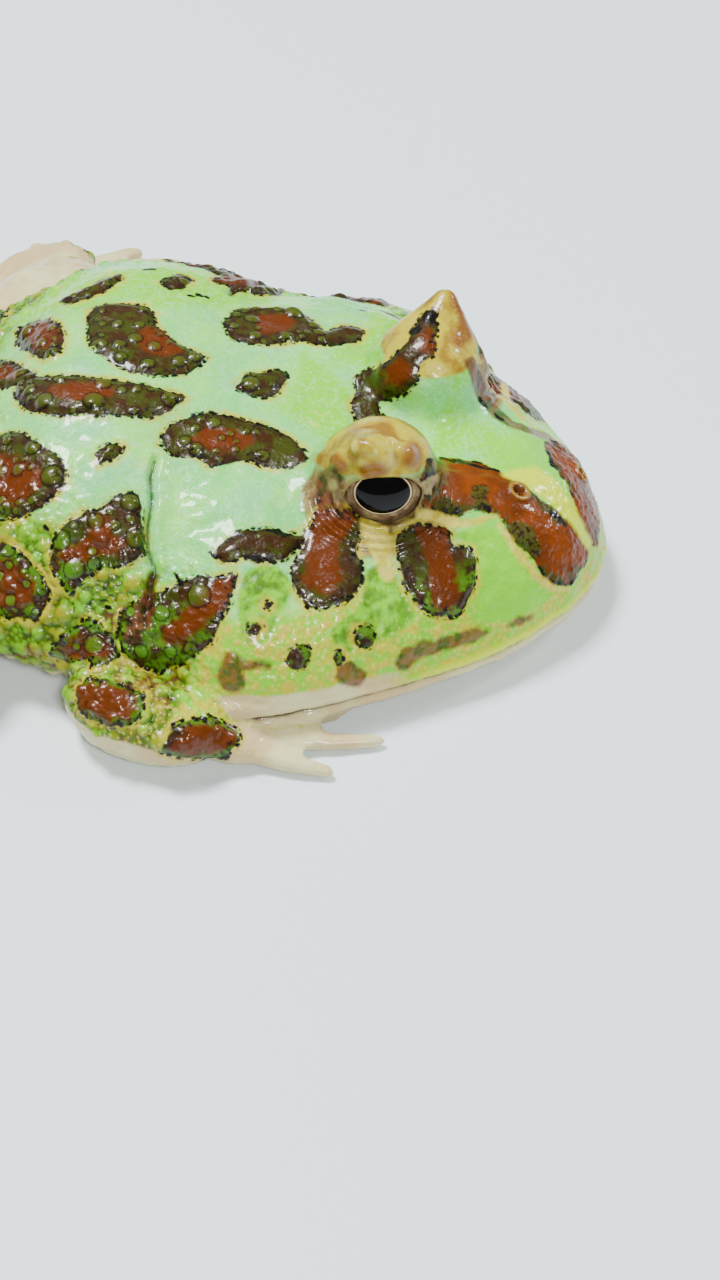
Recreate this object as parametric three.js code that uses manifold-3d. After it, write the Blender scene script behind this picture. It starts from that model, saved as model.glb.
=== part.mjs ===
// Argentine horned frog at rest, life size, in millimetres, +Z up.
// The frog is built facing -Y with the tip of its snout over the start of the Y axis,
// its left side towards +X and its belly on the floor at z = 0.
// At the end it is moved so that the origin is under the middle of its bounding box.
import * as THREE from "three";
import { mergeVertices } from "three/addons/utils/BufferGeometryUtils.js";
import Module from "manifold-3d";

const wasm = await Module();
wasm.setup();

// Driving sizes
const SNOUT_TO_VENT = 90;
const GAP = 0.3;
const FLOOR = 0;
const UP = new THREE.Vector3(0, 0, 1);

// The trunk and head, station by station from the snout backwards.
// y is the way back from the snout, half the width there, brim the height of the widest line,
// crown the height of the back, keel the height of the underside before the floor flattens it,
// full the squareness of the upper half and under that of the lower half, where 2 is an ellipse.
const STATIONS = [
  { name: "snout tip", y: 0, half: 0, brim: 5.0, crown: 5.0, keel: 5.0, full: 2.0, under: 2.0 },
  { name: "lip front", y: 2, half: 8.0, brim: 4.2, crown: 10.6, keel: 0.2, full: 2.0, under: 2.4 },
  { name: "nostrils", y: 8, half: 16.6, brim: 3.8, crown: 15.0, keel: -0.4, full: 1.9, under: 3 },
  { name: "cheeks", y: 15, half: 23.4, brim: 3.8, crown: 16.2, keel: -0.6, full: 1.9, under: 3.4 },
  { name: "eyes", y: 22, half: 29.2, brim: 4.2, crown: 16.8, keel: -0.6, full: 2.0, under: 3.6 },
  { name: "jaw corners", y: 30, half: 33.2, brim: 4.6, crown: 18.2, keel: -0.6, full: 2.1, under: 3.4 },
  { name: "nape", y: 41, half: 30.4, brim: 5.6, crown: 20.8, keel: -0.8, full: 1.95, under: 3 },
  { name: "shoulders", y: 50, half: 29.8, brim: 6.0, crown: 22.7, keel: -1, full: 1.88, under: 2.8 },
  { name: "flanks", y: 58, half: 30.6, brim: 6.4, crown: 23.0, keel: -1, full: 1.88, under: 2.8 },
  { name: "loins", y: 68, half: 26.6, brim: 6.6, crown: 17.6, keel: -1, full: 1.95, under: 2.6 },
  { name: "rump", y: 79, half: 18.9, brim: 6.2, crown: 12.0, keel: -0.4, full: 2.0, under: 2.4 },
  { name: "vent", y: SNOUT_TO_VENT, half: 0, brim: 5.2, crown: 5.2, keel: 5.2, full: 2, under: 2 },
];
const BODY_RINGS = 46;
const BODY_SECTORS = 40;

// The trunk turns a little to the frog's right behind the head, on an arc and then straight
const BEND = { from: 32, to: 62, angle: THREE.MathUtils.degToRad(14) };

// Places where the head and the trunk are parted
const NECK_Y = 41;
const MOUTH_LINE = [
  [-4, 3.6],
  [2, 3.5],
  [12, 3.3],
  [22, 3.7],
  [29, 4.1],
  [34, 3.4],
  [46, 2.6],
];

// Rolls of skin above and below the line of the mouth, back to its corners
const LIPS = [
  { above: 1.2, proud: 0.6, spread: 0.9 },
  { above: -1.1, proud: 0.4, spread: 0.8 },
];
const MOUTH_CORNER_Y = 32;
const HEAD_MIDDLE_Y = 44;

// Left eye; the right one mirrors it
const EYE = {
  centre: new THREE.Vector3(9.0, 22.0, 17.8),
  ball: 5.2,
  orbit: 6.3,
  gaze: new THREE.Vector3(0.82, -0.3, 0.36).normalize(),
  openWide: 4.3,
  openHigh: 2.9,
  openDeep: 3.4,
  openDown: 0.9,
};
const HORN = {
  base: new THREE.Vector3(9.6, 22.4, 18.0),
  lean: new THREE.Vector3(0.5, -0.08, 0.86).normalize(),
  profile: [
    [5.7, -1.5],
    [5.2, 1.2],
    [4.4, 3.0],
    [3.4, 4.8],
    [2.3, 6.5],
    [1.4, 7.9],
    [0.8, 9.0],
  ],
  tip: 9.6,
  long: 1.28,
};
const LID = { reach: 7.2, above: 1.9 };
const NOSTRIL = { x: 3.4, y: 8.3, z: 14.3, rim: 1.25, pit: 0.6 };

// Values between knots, on one smooth curve with no overshoot
function smoothly(knots) {
  const slopes = knots.map((_, i) => {
    if (i === 0 || i === knots.length - 1) return 0;
    const before = (knots[i][1] - knots[i - 1][1]) / (knots[i][0] - knots[i - 1][0]);
    const after = (knots[i + 1][1] - knots[i][1]) / (knots[i + 1][0] - knots[i][0]);
    return before * after <= 0 ? 0 : (2 * before * after) / (before + after);
  });
  const last = knots.length - 1;
  slopes[0] = (knots[1][1] - knots[0][1]) / (knots[1][0] - knots[0][0]);
  slopes[last] =
    (knots[last][1] - knots[last - 1][1]) / (knots[last][0] - knots[last - 1][0]);
  return (x) => {
    const at = THREE.MathUtils.clamp(x, knots[0][0], knots[last][0]);
    let i = 0;
    while (i < last - 1 && at > knots[i + 1][0]) i += 1;
    const span = knots[i + 1][0] - knots[i][0];
    const t = (at - knots[i][0]) / span;
    const t2 = t * t;
    const t3 = t2 * t;
    return (
      (2 * t3 - 3 * t2 + 1) * knots[i][1] +
      (t3 - 2 * t2 + t) * span * slopes[i] +
      (3 * t2 - 2 * t3) * knots[i + 1][1] +
      (t3 - t2) * span * slopes[i + 1]
    );
  };
}

// The trunk is laid out by an angle that runs from 0 at the snout to PI at the vent,
// so that both ends come out round.
const angleOf = (y) =>
  Math.acos(THREE.MathUtils.clamp(1 - (2 * y) / SNOUT_TO_VENT, -1, 1));
const along = (key) => smoothly(STATIONS.map((s) => [angleOf(s.y), s[key]]));
const halfAt = along("half");
const brimAt = along("brim");
const crownAt = along("crown");
const keelAt = along("keel");
const fullAt = along("full");
const underAt = along("under");

// A soft mound, 1 at its middle and 0 far away
const mound = (distance, spread) => Math.exp(-0.5 * (distance / spread) ** 2);

// Distance in plan from a point to the stretch between a and b, on the nearer side of the frog
function planDistance(x, y, a, b) {
  const px = Math.abs(x) - a[0];
  const py = y - a[1];
  const dx = b[0] - a[0];
  const dy = b[1] - a[1];
  const t = THREE.MathUtils.clamp((px * dx + py * dy) / (dx * dx + dy * dy), 0, 1);
  return Math.hypot(px - t * dx, py - t * dy);
}

// How far the skin stands out from the plain body at a point of the upper side
function relief(x, y) {
  const spot = (cx, cy, spread) => mound(Math.hypot(Math.abs(x) - cx, y - cy), spread);
  const eyeMound = 2.2 * spot(10.8, 22, 5);
  const browRidge = 0.9 * mound(planDistance(x, y, [8.5, 17], [3.8, 9.5]), 1.7);
  const browDip = -1.1 * mound(Math.hypot(x / 0.8, (y - 21) / 2.2), 3.4);
  const jawMuscle = 1.0 * spot(23, 31, 6);
  const earDip = -0.5 * spot(18, 27, 2.6);
  const napeDip = -0.9 * mound(planDistance(x, y, [8, 45], [25, 41.5]), 2.2);
  const shoulder = 1.9 * spot(19, 51.5, 6.5);
  const spineDip = -0.4 * mound(x, 3) * mound(y - 58, 14);
  const hips = 0.7 * spot(10, 72, 5);
  const head = eyeMound + browRidge + browDip + jawMuscle + earDip;
  return head + napeDip + shoulder + spineDip + hips;
}

const mouthHeight = smoothly(MOUTH_LINE);

// How far the lips stand out round the front of the head
function lipRoll(y, z) {
  const inMouth = 1 - THREE.MathUtils.smoothstep(y, MOUTH_CORNER_Y - 4, MOUTH_CORNER_Y + 2);
  const rolls = LIPS.map((lip) => lip.proud * mound(z - mouthHeight(y) - lip.above, lip.spread));
  return inMouth * rolls.reduce((a, b) => a + b);
}

// The flank hangs out over the elbow, low down behind the jaw
const flankFold = (y, z) => 2.8 * mound(y - 49, 6) * mound(z - 5.5, 4.5);

// A closed skin made from a sphere's grid: place(u, v) gives the point for u round and v end to end
function shaped(sectors, rings, place) {
  const geometry = new THREE.SphereGeometry(1, sectors, rings);
  const uv = geometry.getAttribute("uv");
  const position = geometry.getAttribute("position");
  for (let i = 0; i < position.count; i += 1) {
    const p = place(uv.getX(i), 1 - uv.getY(i));
    position.setXYZ(i, p.x, p.y, Math.max(p.z, FLOOR));
  }
  geometry.deleteAttribute("normal");
  geometry.deleteAttribute("uv");
  const merged = mergeVertices(geometry, 1e-4);
  return facingOut(merged);
}

function facingOut(geometry) {
  const index = geometry.index.array;
  const p = geometry.getAttribute("position");
  const corner = (i) => new THREE.Vector3().fromBufferAttribute(p, index[i]);
  let volume = 0;
  for (let i = 0; i < index.length; i += 3)
    volume += corner(i).dot(corner(i + 1).cross(corner(i + 2)));
  if (volume < 0)
    for (let i = 0; i < index.length; i += 3)
      [index[i + 1], index[i + 2]] = [index[i + 2], index[i + 1]];
  return geometry;
}

function solid(geometry) {
  const bare = geometry.clone();
  bare.deleteAttribute("normal");
  bare.deleteAttribute("uv");
  const merged = facingOut(mergeVertices(bare, 1e-4));
  return new wasm.Manifold(
    new wasm.Mesh({
      numProp: 3,
      vertProperties: new Float32Array(merged.getAttribute("position").array),
      triVerts: new Uint32Array(merged.index.array),
    }),
  );
}

// The same skin moved out by a distance, to cut neighbours clear of it
function grown(geometry, distance) {
  const wider = geometry.clone();
  wider.computeVertexNormals();
  const p = wider.getAttribute("position");
  const n = wider.getAttribute("normal");
  for (let i = 0; i < p.count; i += 1)
    p.setXYZ(
      i,
      p.getX(i) + n.getX(i) * distance,
      p.getY(i) + n.getY(i) * distance,
      p.getZ(i) + n.getZ(i) * distance,
    );
  return wider;
}

function largest(made) {
  return made.decompose().reduce((a, b) => (b.volume() > a.volume() ? b : a));
}

function geometryOf(made) {
  const mesh = made.getMesh();
  const points = new Float32Array(mesh.numVert * 3);
  for (let i = 0; i < mesh.numVert; i += 1)
    points.set(mesh.vertProperties.subarray(i * mesh.numProp, i * mesh.numProp + 3), i * 3);
  const geometry = new THREE.BufferGeometry();
  geometry.setAttribute("position", new THREE.BufferAttribute(points, 3));
  geometry.setIndex(new THREE.BufferAttribute(new Uint32Array(mesh.triVerts), 1));
  geometry.computeVertexNormals();
  return geometry;
}

const round = (value, power) => Math.sign(value) * Math.abs(value) ** power;

// side is 1 for the frog as it is and -1 for a mirror image made before the trunk is bent
function bent(point, side = 1) {
  const { from, to, angle } = BEND;
  const radius = (to - from) / angle;
  const turned = THREE.MathUtils.clamp((point.y - from) / radius, 0, angle);
  const beyond = point.y - from - turned * radius;
  const reach = radius + side * point.x;
  return new THREE.Vector3(
    reach * Math.cos(turned) - radius - beyond * Math.sin(turned),
    from + reach * Math.sin(turned) + beyond * Math.cos(turned),
    point.z,
  );
}

function bodySkin() {
  return shaped(BODY_SECTORS, BODY_RINGS, (u, v) => {
    const angle = v * Math.PI;
    const y = (SNOUT_TO_VENT / 2) * (1 - Math.cos(angle));
    const turn = u * 2 * Math.PI;
    const brim = brimAt(angle);
    const up = Math.sin(turn);
    const square = up >= 0 ? fullAt(angle) : underAt(angle);
    const reach = up >= 0 ? crownAt(angle) - brim : brim - keelAt(angle);
    const x = halfAt(angle) * round(Math.cos(turn), 2 / square);
    const rise = reach * round(up, 2 / square);
    const out = relief(x, y) * THREE.MathUtils.smoothstep(up, 0.05, 0.5);
    const direction = new THREE.Vector3(x, 0, rise * 1.5).normalize();
    const point = new THREE.Vector3(x, y, brim + rise).addScaledVector(direction, out);
    point.x += Math.sign(x) * Math.abs(Math.cos(turn)) * flankFold(y, point.z);
    const outward = new THREE.Vector3(point.x, (point.y - HEAD_MIDDLE_Y) * 0.7, 0).normalize();
    point.addScaledVector(outward, lipRoll(y, point.z));
    return bent(point);
  });
}

// A limb or digit: a round-ended tube along a curve, with its half width and half height by place
function limb({ path, wide, high, sides = 10, rings = 11 }, side) {
  const curve = new THREE.CatmullRomCurve3(
    path.map((p) => bent(new THREE.Vector3(...p), side)),
    false,
    "centripetal",
  );
  const stops = (values) => smoothly(values.map((w, i) => [i / (values.length - 1), w]));
  const wideAt = stops(wide);
  const highAt = stops(high);
  const startCap = wide[0] / curve.getLength();
  const endCap = wide[wide.length - 1] / curve.getLength();
  return shaped(sides, rings, (u, v) => {
    const s = THREE.MathUtils.lerp(v, (1 - Math.cos(v * Math.PI)) / 2, 0.7);
    const inward = Math.min(s / startCap, (1 - s) / endCap, 1);
    const size = Math.sqrt(inward * (2 - inward));
    const tangent = curve.getTangentAt(s);
    const across = new THREE.Vector3().crossVectors(tangent, UP).normalize();
    const lift = new THREE.Vector3().crossVectors(across, tangent);
    const turn = u * 2 * Math.PI;
    return curve
      .getPointAt(s)
      .addScaledVector(across, Math.cos(turn) * wideAt(s) * size)
      .addScaledVector(lift, Math.sin(turn) * highAt(s) * size);
  });
}

const mirrored = (made) => made.mirror([1, 0, 0]);

// A flat outline in the Y and Z of the frog, pushed through it from side to side
function sideCutter(outline) {
  const shape = new THREE.Shape(outline.map(([y, z]) => new THREE.Vector2(y, z)));
  const geometry = new THREE.ExtrudeGeometry(shape, { depth: 120, bevelEnabled: false });
  geometry.translate(0, 0, -60);
  geometry.applyMatrix4(
    new THREE.Matrix4().makeBasis(
      new THREE.Vector3(0, 1, 0),
      new THREE.Vector3(0, 0, 1),
      new THREE.Vector3(1, 0, 0),
    ),
  );
  return solid(geometry);
}

function ball(centre, radius, segments = 20, stretch = [1, 1, 1], turn = new THREE.Quaternion()) {
  const geometry = new THREE.SphereGeometry(radius, segments, Math.round(segments * 0.7));
  geometry.scale(...stretch);
  geometry.applyQuaternion(turn);
  geometry.translate(centre.x, centre.y, centre.z);
  return solid(geometry);
}

// Turns +X to the eye's gaze and keeps its +Z as near to up as it can be
function gazeTurn() {
  const forward = EYE.gaze;
  const side = new THREE.Vector3().crossVectors(UP, forward).normalize();
  const up = new THREE.Vector3().crossVectors(forward, side);
  const basis = new THREE.Matrix4().makeBasis(forward, side, up);
  return { up, turn: new THREE.Quaternion().setFromRotationMatrix(basis) };
}

function hornSolid(extra = 0) {
  const points = [new THREE.Vector2(0, HORN.profile[0][1] - extra)];
  HORN.profile.forEach(([r, z]) => points.push(new THREE.Vector2(r + extra, z)));
  points.push(new THREE.Vector2(0, HORN.tip + extra));
  const geometry = new THREE.LatheGeometry(points, 14);
  geometry.rotateX(Math.PI / 2);
  geometry.scale(1, HORN.long, 1);
  geometry.applyQuaternion(new THREE.Quaternion().setFromUnitVectors(UP, HORN.lean));
  geometry.translate(HORN.base.x, HORN.base.y, HORN.base.z);
  return solid(geometry);
}

// The half space above a tilted plane through a point, as a large box
function above(point, normal) {
  const box = new THREE.BoxGeometry(60, 60, 40);
  box.translate(0, 0, 20);
  box.applyQuaternion(new THREE.Quaternion().setFromUnitVectors(UP, normal));
  box.translate(point.x, point.y, point.z);
  return solid(box);
}

function lidRegion(extra) {
  const { up } = gazeTurn();
  const from = EYE.centre.clone().addScaledVector(up, LID.above - extra);
  return ball(EYE.centre, LID.reach + extra, 16).add(hornSolid(extra)).intersect(above(from, up));
}

const parts = new Map();
const skins = {
  skin: { color: 0x7fae5a, roughness: 0.45 },
  pale: { color: 0xe6dfc4, roughness: 0.5 },
  lid: { color: 0xb9893f, roughness: 0.45 },
  eye: { color: 0x1c130d, roughness: 0.08 },
};

function keep(name, finish, made) {
  parts.set(name, { finish, made: largest(made) });
}

function buildTrunkAndHead(armRooms) {
  const whole = solid(bodySkin());
  const { up, turn } = gazeTurn();
  const opening = EYE.centre
    .clone()
    .addScaledVector(EYE.gaze, EYE.ball + 0.3)
    .addScaledVector(up, -EYE.openDown);
  const eyeForms = ball(EYE.centre, EYE.orbit, 18).add(hornSolid());
  const nostril = new THREE.Vector3(NOSTRIL.x, NOSTRIL.y, NOSTRIL.z);
  const nostrilRim = ball(nostril, NOSTRIL.rim, 10, [0.9, 1.1, 0.9]);
  const nostrilPit = ball(
    nostril.clone().add(new THREE.Vector3(0.5, -0.4, 1.0)),
    NOSTRIL.pit,
    8,
    [0.9, 1.3, 2.0],
  );
  const added = eyeForms.add(nostrilRim);
  const taken = ball(EYE.centre, EYE.ball + GAP, 18)
    .add(ball(opening, 1, 14, [EYE.openDeep, EYE.openWide, EYE.openHigh], turn))
    .add(nostrilPit);
  const dressed = whole
    .add(added)
    .add(mirrored(added))
    .subtract(taken)
    .subtract(mirrored(taken));
  const body = without(dressed, armRooms);

  const behind = (y) =>
    solid(new THREE.BoxGeometry(120, 120, 80).translate(0, y + 60, 30));
  const torso = body.intersect(behind(NECK_Y + GAP / 2));
  const front = body.subtract(behind(NECK_Y - GAP / 2));
  const below = (shift) =>
    sideCutter([
      ...MOUTH_LINE.map(([y, z]) => [y, z + shift]),
      [46, -10],
      [-4, -10],
    ]);
  const jaw = front.intersect(below(-GAP / 2));
  const upper = front.subtract(below(GAP / 2));
  const lid = upper.intersect(lidRegion(0));
  const lidRoom = lidRegion(GAP);
  keep("torso", "skin", torso);
  keep("lower_jaw", "pale", jaw);
  keep("head", "skin", upper.subtract(lidRoom).subtract(mirrored(lidRoom)));
  keep("eyelid_left", "lid", lid);
  keep("eyelid_right", "lid", mirrored(lid));
  const eyeball = ball(EYE.centre, EYE.ball, 20);
  keep("eye_left", "eye", eyeball);
  keep("eye_right", "eye", mirrored(eyeball));
}

// Limbs are given for the frog's left side. Each segment is cut clear of what it grows from.
const FORELIMB = [
  {
    name: "forearm",
    path: [[31.0, 49.8, 4.0], [35.6, 45.2, 3.9], [36.5, 38, 3.7], [34.9, 29.8, 2.8]],
    wide: [3.9, 4.2, 4.0, 2.9],
    high: [4.1, 4.1, 3.8, 2.9],
  },
  {
    name: "hand",
    path: [[35.4, 32, 2.3], [34.6, 29, 1.9], [33.9, 26.0, 1.4]],
    wide: [2.7, 2.9, 2.2],
    high: [2.4, 2.0, 1.4],
    sides: 8,
    rings: 8,
  },
];
// Digits lie on the floor, so they are given in plan
const FINGERS = [
  { plan: [[33.2, 28.6], [29.4, 27.8], [25.8, 26.2]], wide: [1.2, 1.05, 0.75] },
  { plan: [[33.0, 27.4], [29.4, 24.2], [26.2, 20.2]], wide: [1.2, 1.05, 0.75] },
  { plan: [[33.2, 27.6], [31.2, 21.2], [28.6, 14.6]], wide: [1.3, 1.1, 0.75] },
  { plan: [[34.8, 27.8], [34.9, 23.2], [34.6, 18.2]], wide: [1.35, 1.15, 0.8] },
];
// The left elbow is drawn in under the flank, and its hand lies a little further in
const LEFT_FOREARM = [[27, 50, 4], [30.2, 45.6, 3.9], [31.2, 38, 3.7], [32.9, 29.8, 2.8]];
const LEFT_HAND_IN = 2;
const HINDLIMB = [
  {
    name: "thigh",
    path: [[15, 77, 7.2], [26, 72, 7.6], [36, 66.6, 6.8]],
    wide: [7.5, 7.6, 5.0],
    high: [6.8, 7.2, 5.2],
  },
  {
    name: "shank",
    path: [[36.8, 66.8, 6.2], [37.2, 72, 6.2], [34.0, 78, 5.2], [29.6, 82.6, 3.9]],
    wide: [4.8, 5.4, 4.6, 3.4],
    high: [5.2, 5.7, 4.8, 3.6],
  },
  {
    name: "foot",
    path: [[29.5, 83.5, 3.3], [38, 80, 2.9], [44.2, 71, 2.4], [47.6, 63.6, 1.5]],
    wide: [3.2, 3.3, 3.6, 4.0],
    high: [3.3, 3.0, 2.5, 1.6],
  },
];
const TOES = [
  { plan: [[45.2, 65.4], [44.2, 62.6], [43.6, 59.6]], wide: [1.6, 1.35, 0.9] },
  { plan: [[46.2, 64.6], [46.1, 60.6], [46.5, 56.6]], wide: [1.7, 1.4, 0.95] },
  { plan: [[47.6, 64.0], [48.5, 59.4], [49.8, 54.8]], wide: [1.8, 1.5, 1.0] },
  { plan: [[48.9, 64.6], [51.4, 59.4], [54.2, 54.4]], wide: [1.8, 1.5, 1.0] },
  { plan: [[50.0, 66.0], [53.4, 62.2], [56.6, 58.8]], wide: [1.7, 1.4, 0.95] },
];
// Where each hind leg lies against the paths above, and how its toes are moved from there
const LEFT_LEG = { dx: -2, dy: -4, toesIn: 2.4, toesBack: 5.8 };
const RIGHT_LEG = { dx: 0, dy: 0, toesIn: 0, toesBack: 5.5 };
const DIGIT = { sides: 6, rings: 8, flatness: 0.9, sink: 0.05 };

const roomAround = (geometry) => solid(grown(geometry, GAP));
const without = (made, cutters) => cutters.reduce((rest, cutter) => rest.subtract(cutter), made);

// Makes one limb and its digits, each piece clear of those before it and of the rooms given.
// side is 1 for the left and -1 for the right. It returns the room that the whole limb takes.
function buildLimb({ segments, digits, digitName }, side, rooms) {
  const sideName = side > 0 ? "left" : "right";
  const taken = [];
  const place = (piece, name, finish) => {
    const geometry = limb(piece, side);
    keep(`${name}_${sideName}`, finish, without(solid(geometry), [...rooms, ...taken]));
    taken.push(roomAround(geometry));
  };
  segments.forEach((segment) => place(segment, segment.name, "skin"));
  digits.forEach((digit, i) => place(onFloor(digit), `${digitName}_${i + 1}`, "pale"));
  return taken;
}

// A digit given in plan, lying on the floor
function onFloor({ plan, wide }) {
  const high = wide.map((w) => w * DIGIT.flatness);
  const path = plan.map(([x, y], i) => [x, y, high[i] - DIGIT.sink]);
  return { path, wide, high, sides: DIGIT.sides, rings: DIGIT.rings };
}

const planShifted = (digit, dx, dy) => ({
  ...digit,
  plan: digit.plan.map(([x, y]) => [x + dx, y + dy]),
});
const shifted = (piece, dx, dy) => ({
  ...piece,
  path: piece.path.map(([x, y, z]) => [x + dx, y + dy, z]),
});

// A foot with its toe end moved and its heel where it was
const swung = (foot, dx, dy) => ({
  ...foot,
  path: foot.path.map(([x, y, z], i) => {
    const share = i / (foot.path.length - 1);
    return [x + dx * share, y + dy * share, z];
  }),
});

// The arms come first and the trunk is cut to rest on them; the legs are cut clear of the trunk
function buildForelimbs() {
  const [forearm, hand] = FORELIMB;
  const right = { segments: FORELIMB, digits: FINGERS, digitName: "finger" };
  const left = {
    segments: [{ ...forearm, path: LEFT_FOREARM }, shifted(hand, -LEFT_HAND_IN, 0)],
    digits: FINGERS.map((finger) => planShifted(finger, -LEFT_HAND_IN, 0)),
    digitName: "finger",
  };
  return [...buildLimb(left, 1, []), ...buildLimb(right, -1, [])];
}

function buildHindlimbs() {
  const bodyRoom = roomAround(bodySkin());
  const [thigh, shank, foot] = HINDLIMB;
  const leg = ({ dx, dy, toesIn, toesBack }) => {
    const segments = [thigh, shank, swung(foot, -toesIn, toesBack)];
    return {
      segments: segments.map((piece) => shifted(piece, dx, dy)),
      digits: TOES.map((toe) => planShifted(toe, dx - toesIn, dy + toesBack)),
      digitName: "toe",
    };
  };
  buildLimb(leg(LEFT_LEG), 1, [bodyRoom]);
  buildLimb(leg(RIGHT_LEG), -1, [bodyRoom]);
}

buildTrunkAndHead(buildForelimbs());
buildHindlimbs();

const frog = new THREE.Group();
for (const [name, { finish, made }] of parts) {
  const mesh = new THREE.Mesh(
    geometryOf(made),
    new THREE.MeshStandardMaterial({ ...skins[finish], metalness: 0 }),
  );
  mesh.name = name;
  frog.add(mesh);
}
const box = new THREE.Box3().setFromObject(frog);
const middle = box.getCenter(new THREE.Vector3());
frog.position.set(-middle.x, -middle.y, -box.min.z);

const model = new THREE.Group();
model.add(frog);
export default model;
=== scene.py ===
"""The looks of a life-size horned frog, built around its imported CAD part.

The flesh solids become one sculpted skin with painted markings, and each eye becomes a glossy ball.
Lengths are in millimetres while the skin is worked on, and in metres in every Blender object.
"""

import logging
import math
from dataclasses import dataclass, field
from enum import Enum

import bmesh
import bpy
import numpy as np
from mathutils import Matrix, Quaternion, Vector
from mathutils.bvhtree import BVHTree
from mathutils.kdtree import KDTree


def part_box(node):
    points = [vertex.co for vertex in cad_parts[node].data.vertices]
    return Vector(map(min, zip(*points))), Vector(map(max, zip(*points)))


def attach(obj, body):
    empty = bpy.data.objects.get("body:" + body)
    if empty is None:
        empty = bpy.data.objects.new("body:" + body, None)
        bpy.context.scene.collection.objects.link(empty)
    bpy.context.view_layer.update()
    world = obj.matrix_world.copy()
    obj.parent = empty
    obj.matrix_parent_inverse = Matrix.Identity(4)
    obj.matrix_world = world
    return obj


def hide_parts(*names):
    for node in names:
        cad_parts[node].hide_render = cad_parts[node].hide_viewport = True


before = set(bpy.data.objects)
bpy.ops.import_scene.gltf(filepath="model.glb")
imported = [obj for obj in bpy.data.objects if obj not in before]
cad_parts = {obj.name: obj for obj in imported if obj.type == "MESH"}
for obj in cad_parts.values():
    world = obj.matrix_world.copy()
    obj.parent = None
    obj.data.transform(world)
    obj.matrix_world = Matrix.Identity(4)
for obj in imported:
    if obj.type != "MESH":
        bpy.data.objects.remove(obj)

log = logging.getLogger("frog")

MM = 0.001
FAR = 9.0
EYES = ("eye_left", "eye_right")

Color = tuple[float, float, float, float]
Pixel = tuple[float, float]


def srgb(red: int, green: int, blue: int) -> Color:
    """Turns a screen colour of 0 to 255 into the linear colour that shaders take.

    Args:
        red: Red, 0 to 255.
        green: Green, 0 to 255.
        blue: Blue, 0 to 255.

    Returns:
        The linear colour with full opacity.
    """

    def linear(value: float) -> float:
        """Undoes the screen's gamma curve for one channel."""
        return value / 12.92 if value <= 0.04045 else ((value + 0.055) / 1.055) ** 2.4

    return (linear(red / 255), linear(green / 255), linear(blue / 255), 1.0)


def smoothstep(low: float, high: float, values: np.ndarray) -> np.ndarray:
    """Rises smoothly from 0 at low to 1 at high; low may be the larger of the two."""
    share = np.clip((values - low) / (high - low), 0, 1)
    return share * share * (3 - 2 * share)


def lengths(vectors: np.ndarray) -> np.ndarray:
    """The length of each row."""
    return np.sqrt((vectors**2).sum(1))


@dataclass(frozen=True)
class FrogAxes:
    """The straight frog: x to its left, y back from the snout, z up, before the trunk turns."""

    middle_x: float
    snout_y: float
    bend_from: float = 32.0
    bend_to: float = 62.0
    bend_angle: float = math.radians(14)
    eye_y: float = 22.0

    @classmethod
    def from_frame(cls) -> "FrogAxes":
        """Finds the axes from the two eyeballs of the CAD part."""
        corners = [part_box(name) for name in EYES]
        middle = sum((low + high for low, high in corners), Vector()) / 4 / MM
        return cls(middle.x, middle.y - cls.eye_y)

    @property
    def bend_radius(self) -> float:
        """Radius of the arc that the trunk's middle follows."""
        return (self.bend_to - self.bend_from) / self.bend_angle

    def straight(self, points: np.ndarray) -> np.ndarray:
        """Undoes the turn of the trunk.

        Args:
            points: Points in the row frame, in millimetres.

        Returns:
            The same points on the straight frog.
        """
        radius = self.bend_radius
        across = points[:, 0] - self.middle_x + radius
        along = points[:, 1] - self.snout_y - self.bend_from
        turn = np.clip(np.arctan2(along, across), 0, self.bend_angle)
        out = across * np.cos(turn) + along * np.sin(turn)
        beyond = along * np.cos(turn) - across * np.sin(turn)
        back = self.bend_from + turn * radius + beyond
        return np.stack([out - radius, back, points[:, 2]], 1)

    def placed(self, points: np.ndarray) -> np.ndarray:
        """Turns the trunk as the CAD part has it.

        Args:
            points: Points on the straight frog.

        Returns:
            The same points in the row frame, in millimetres.
        """
        radius = self.bend_radius
        turn = np.clip((points[:, 1] - self.bend_from) / radius, 0, self.bend_angle)
        beyond = points[:, 1] - self.bend_from - turn * radius
        reach = radius + points[:, 0]
        across = reach * np.cos(turn) - radius - beyond * np.sin(turn)
        along = self.bend_from + reach * np.sin(turn) + beyond * np.cos(turn)
        return np.stack([across + self.middle_x, along + self.snout_y, points[:, 2]], 1)

    def mirrored(self, points: np.ndarray) -> np.ndarray:
        """Moves points in the row frame to the frog's other side."""
        return self.placed(self.straight(points) * (-1, 1, 1))


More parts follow.
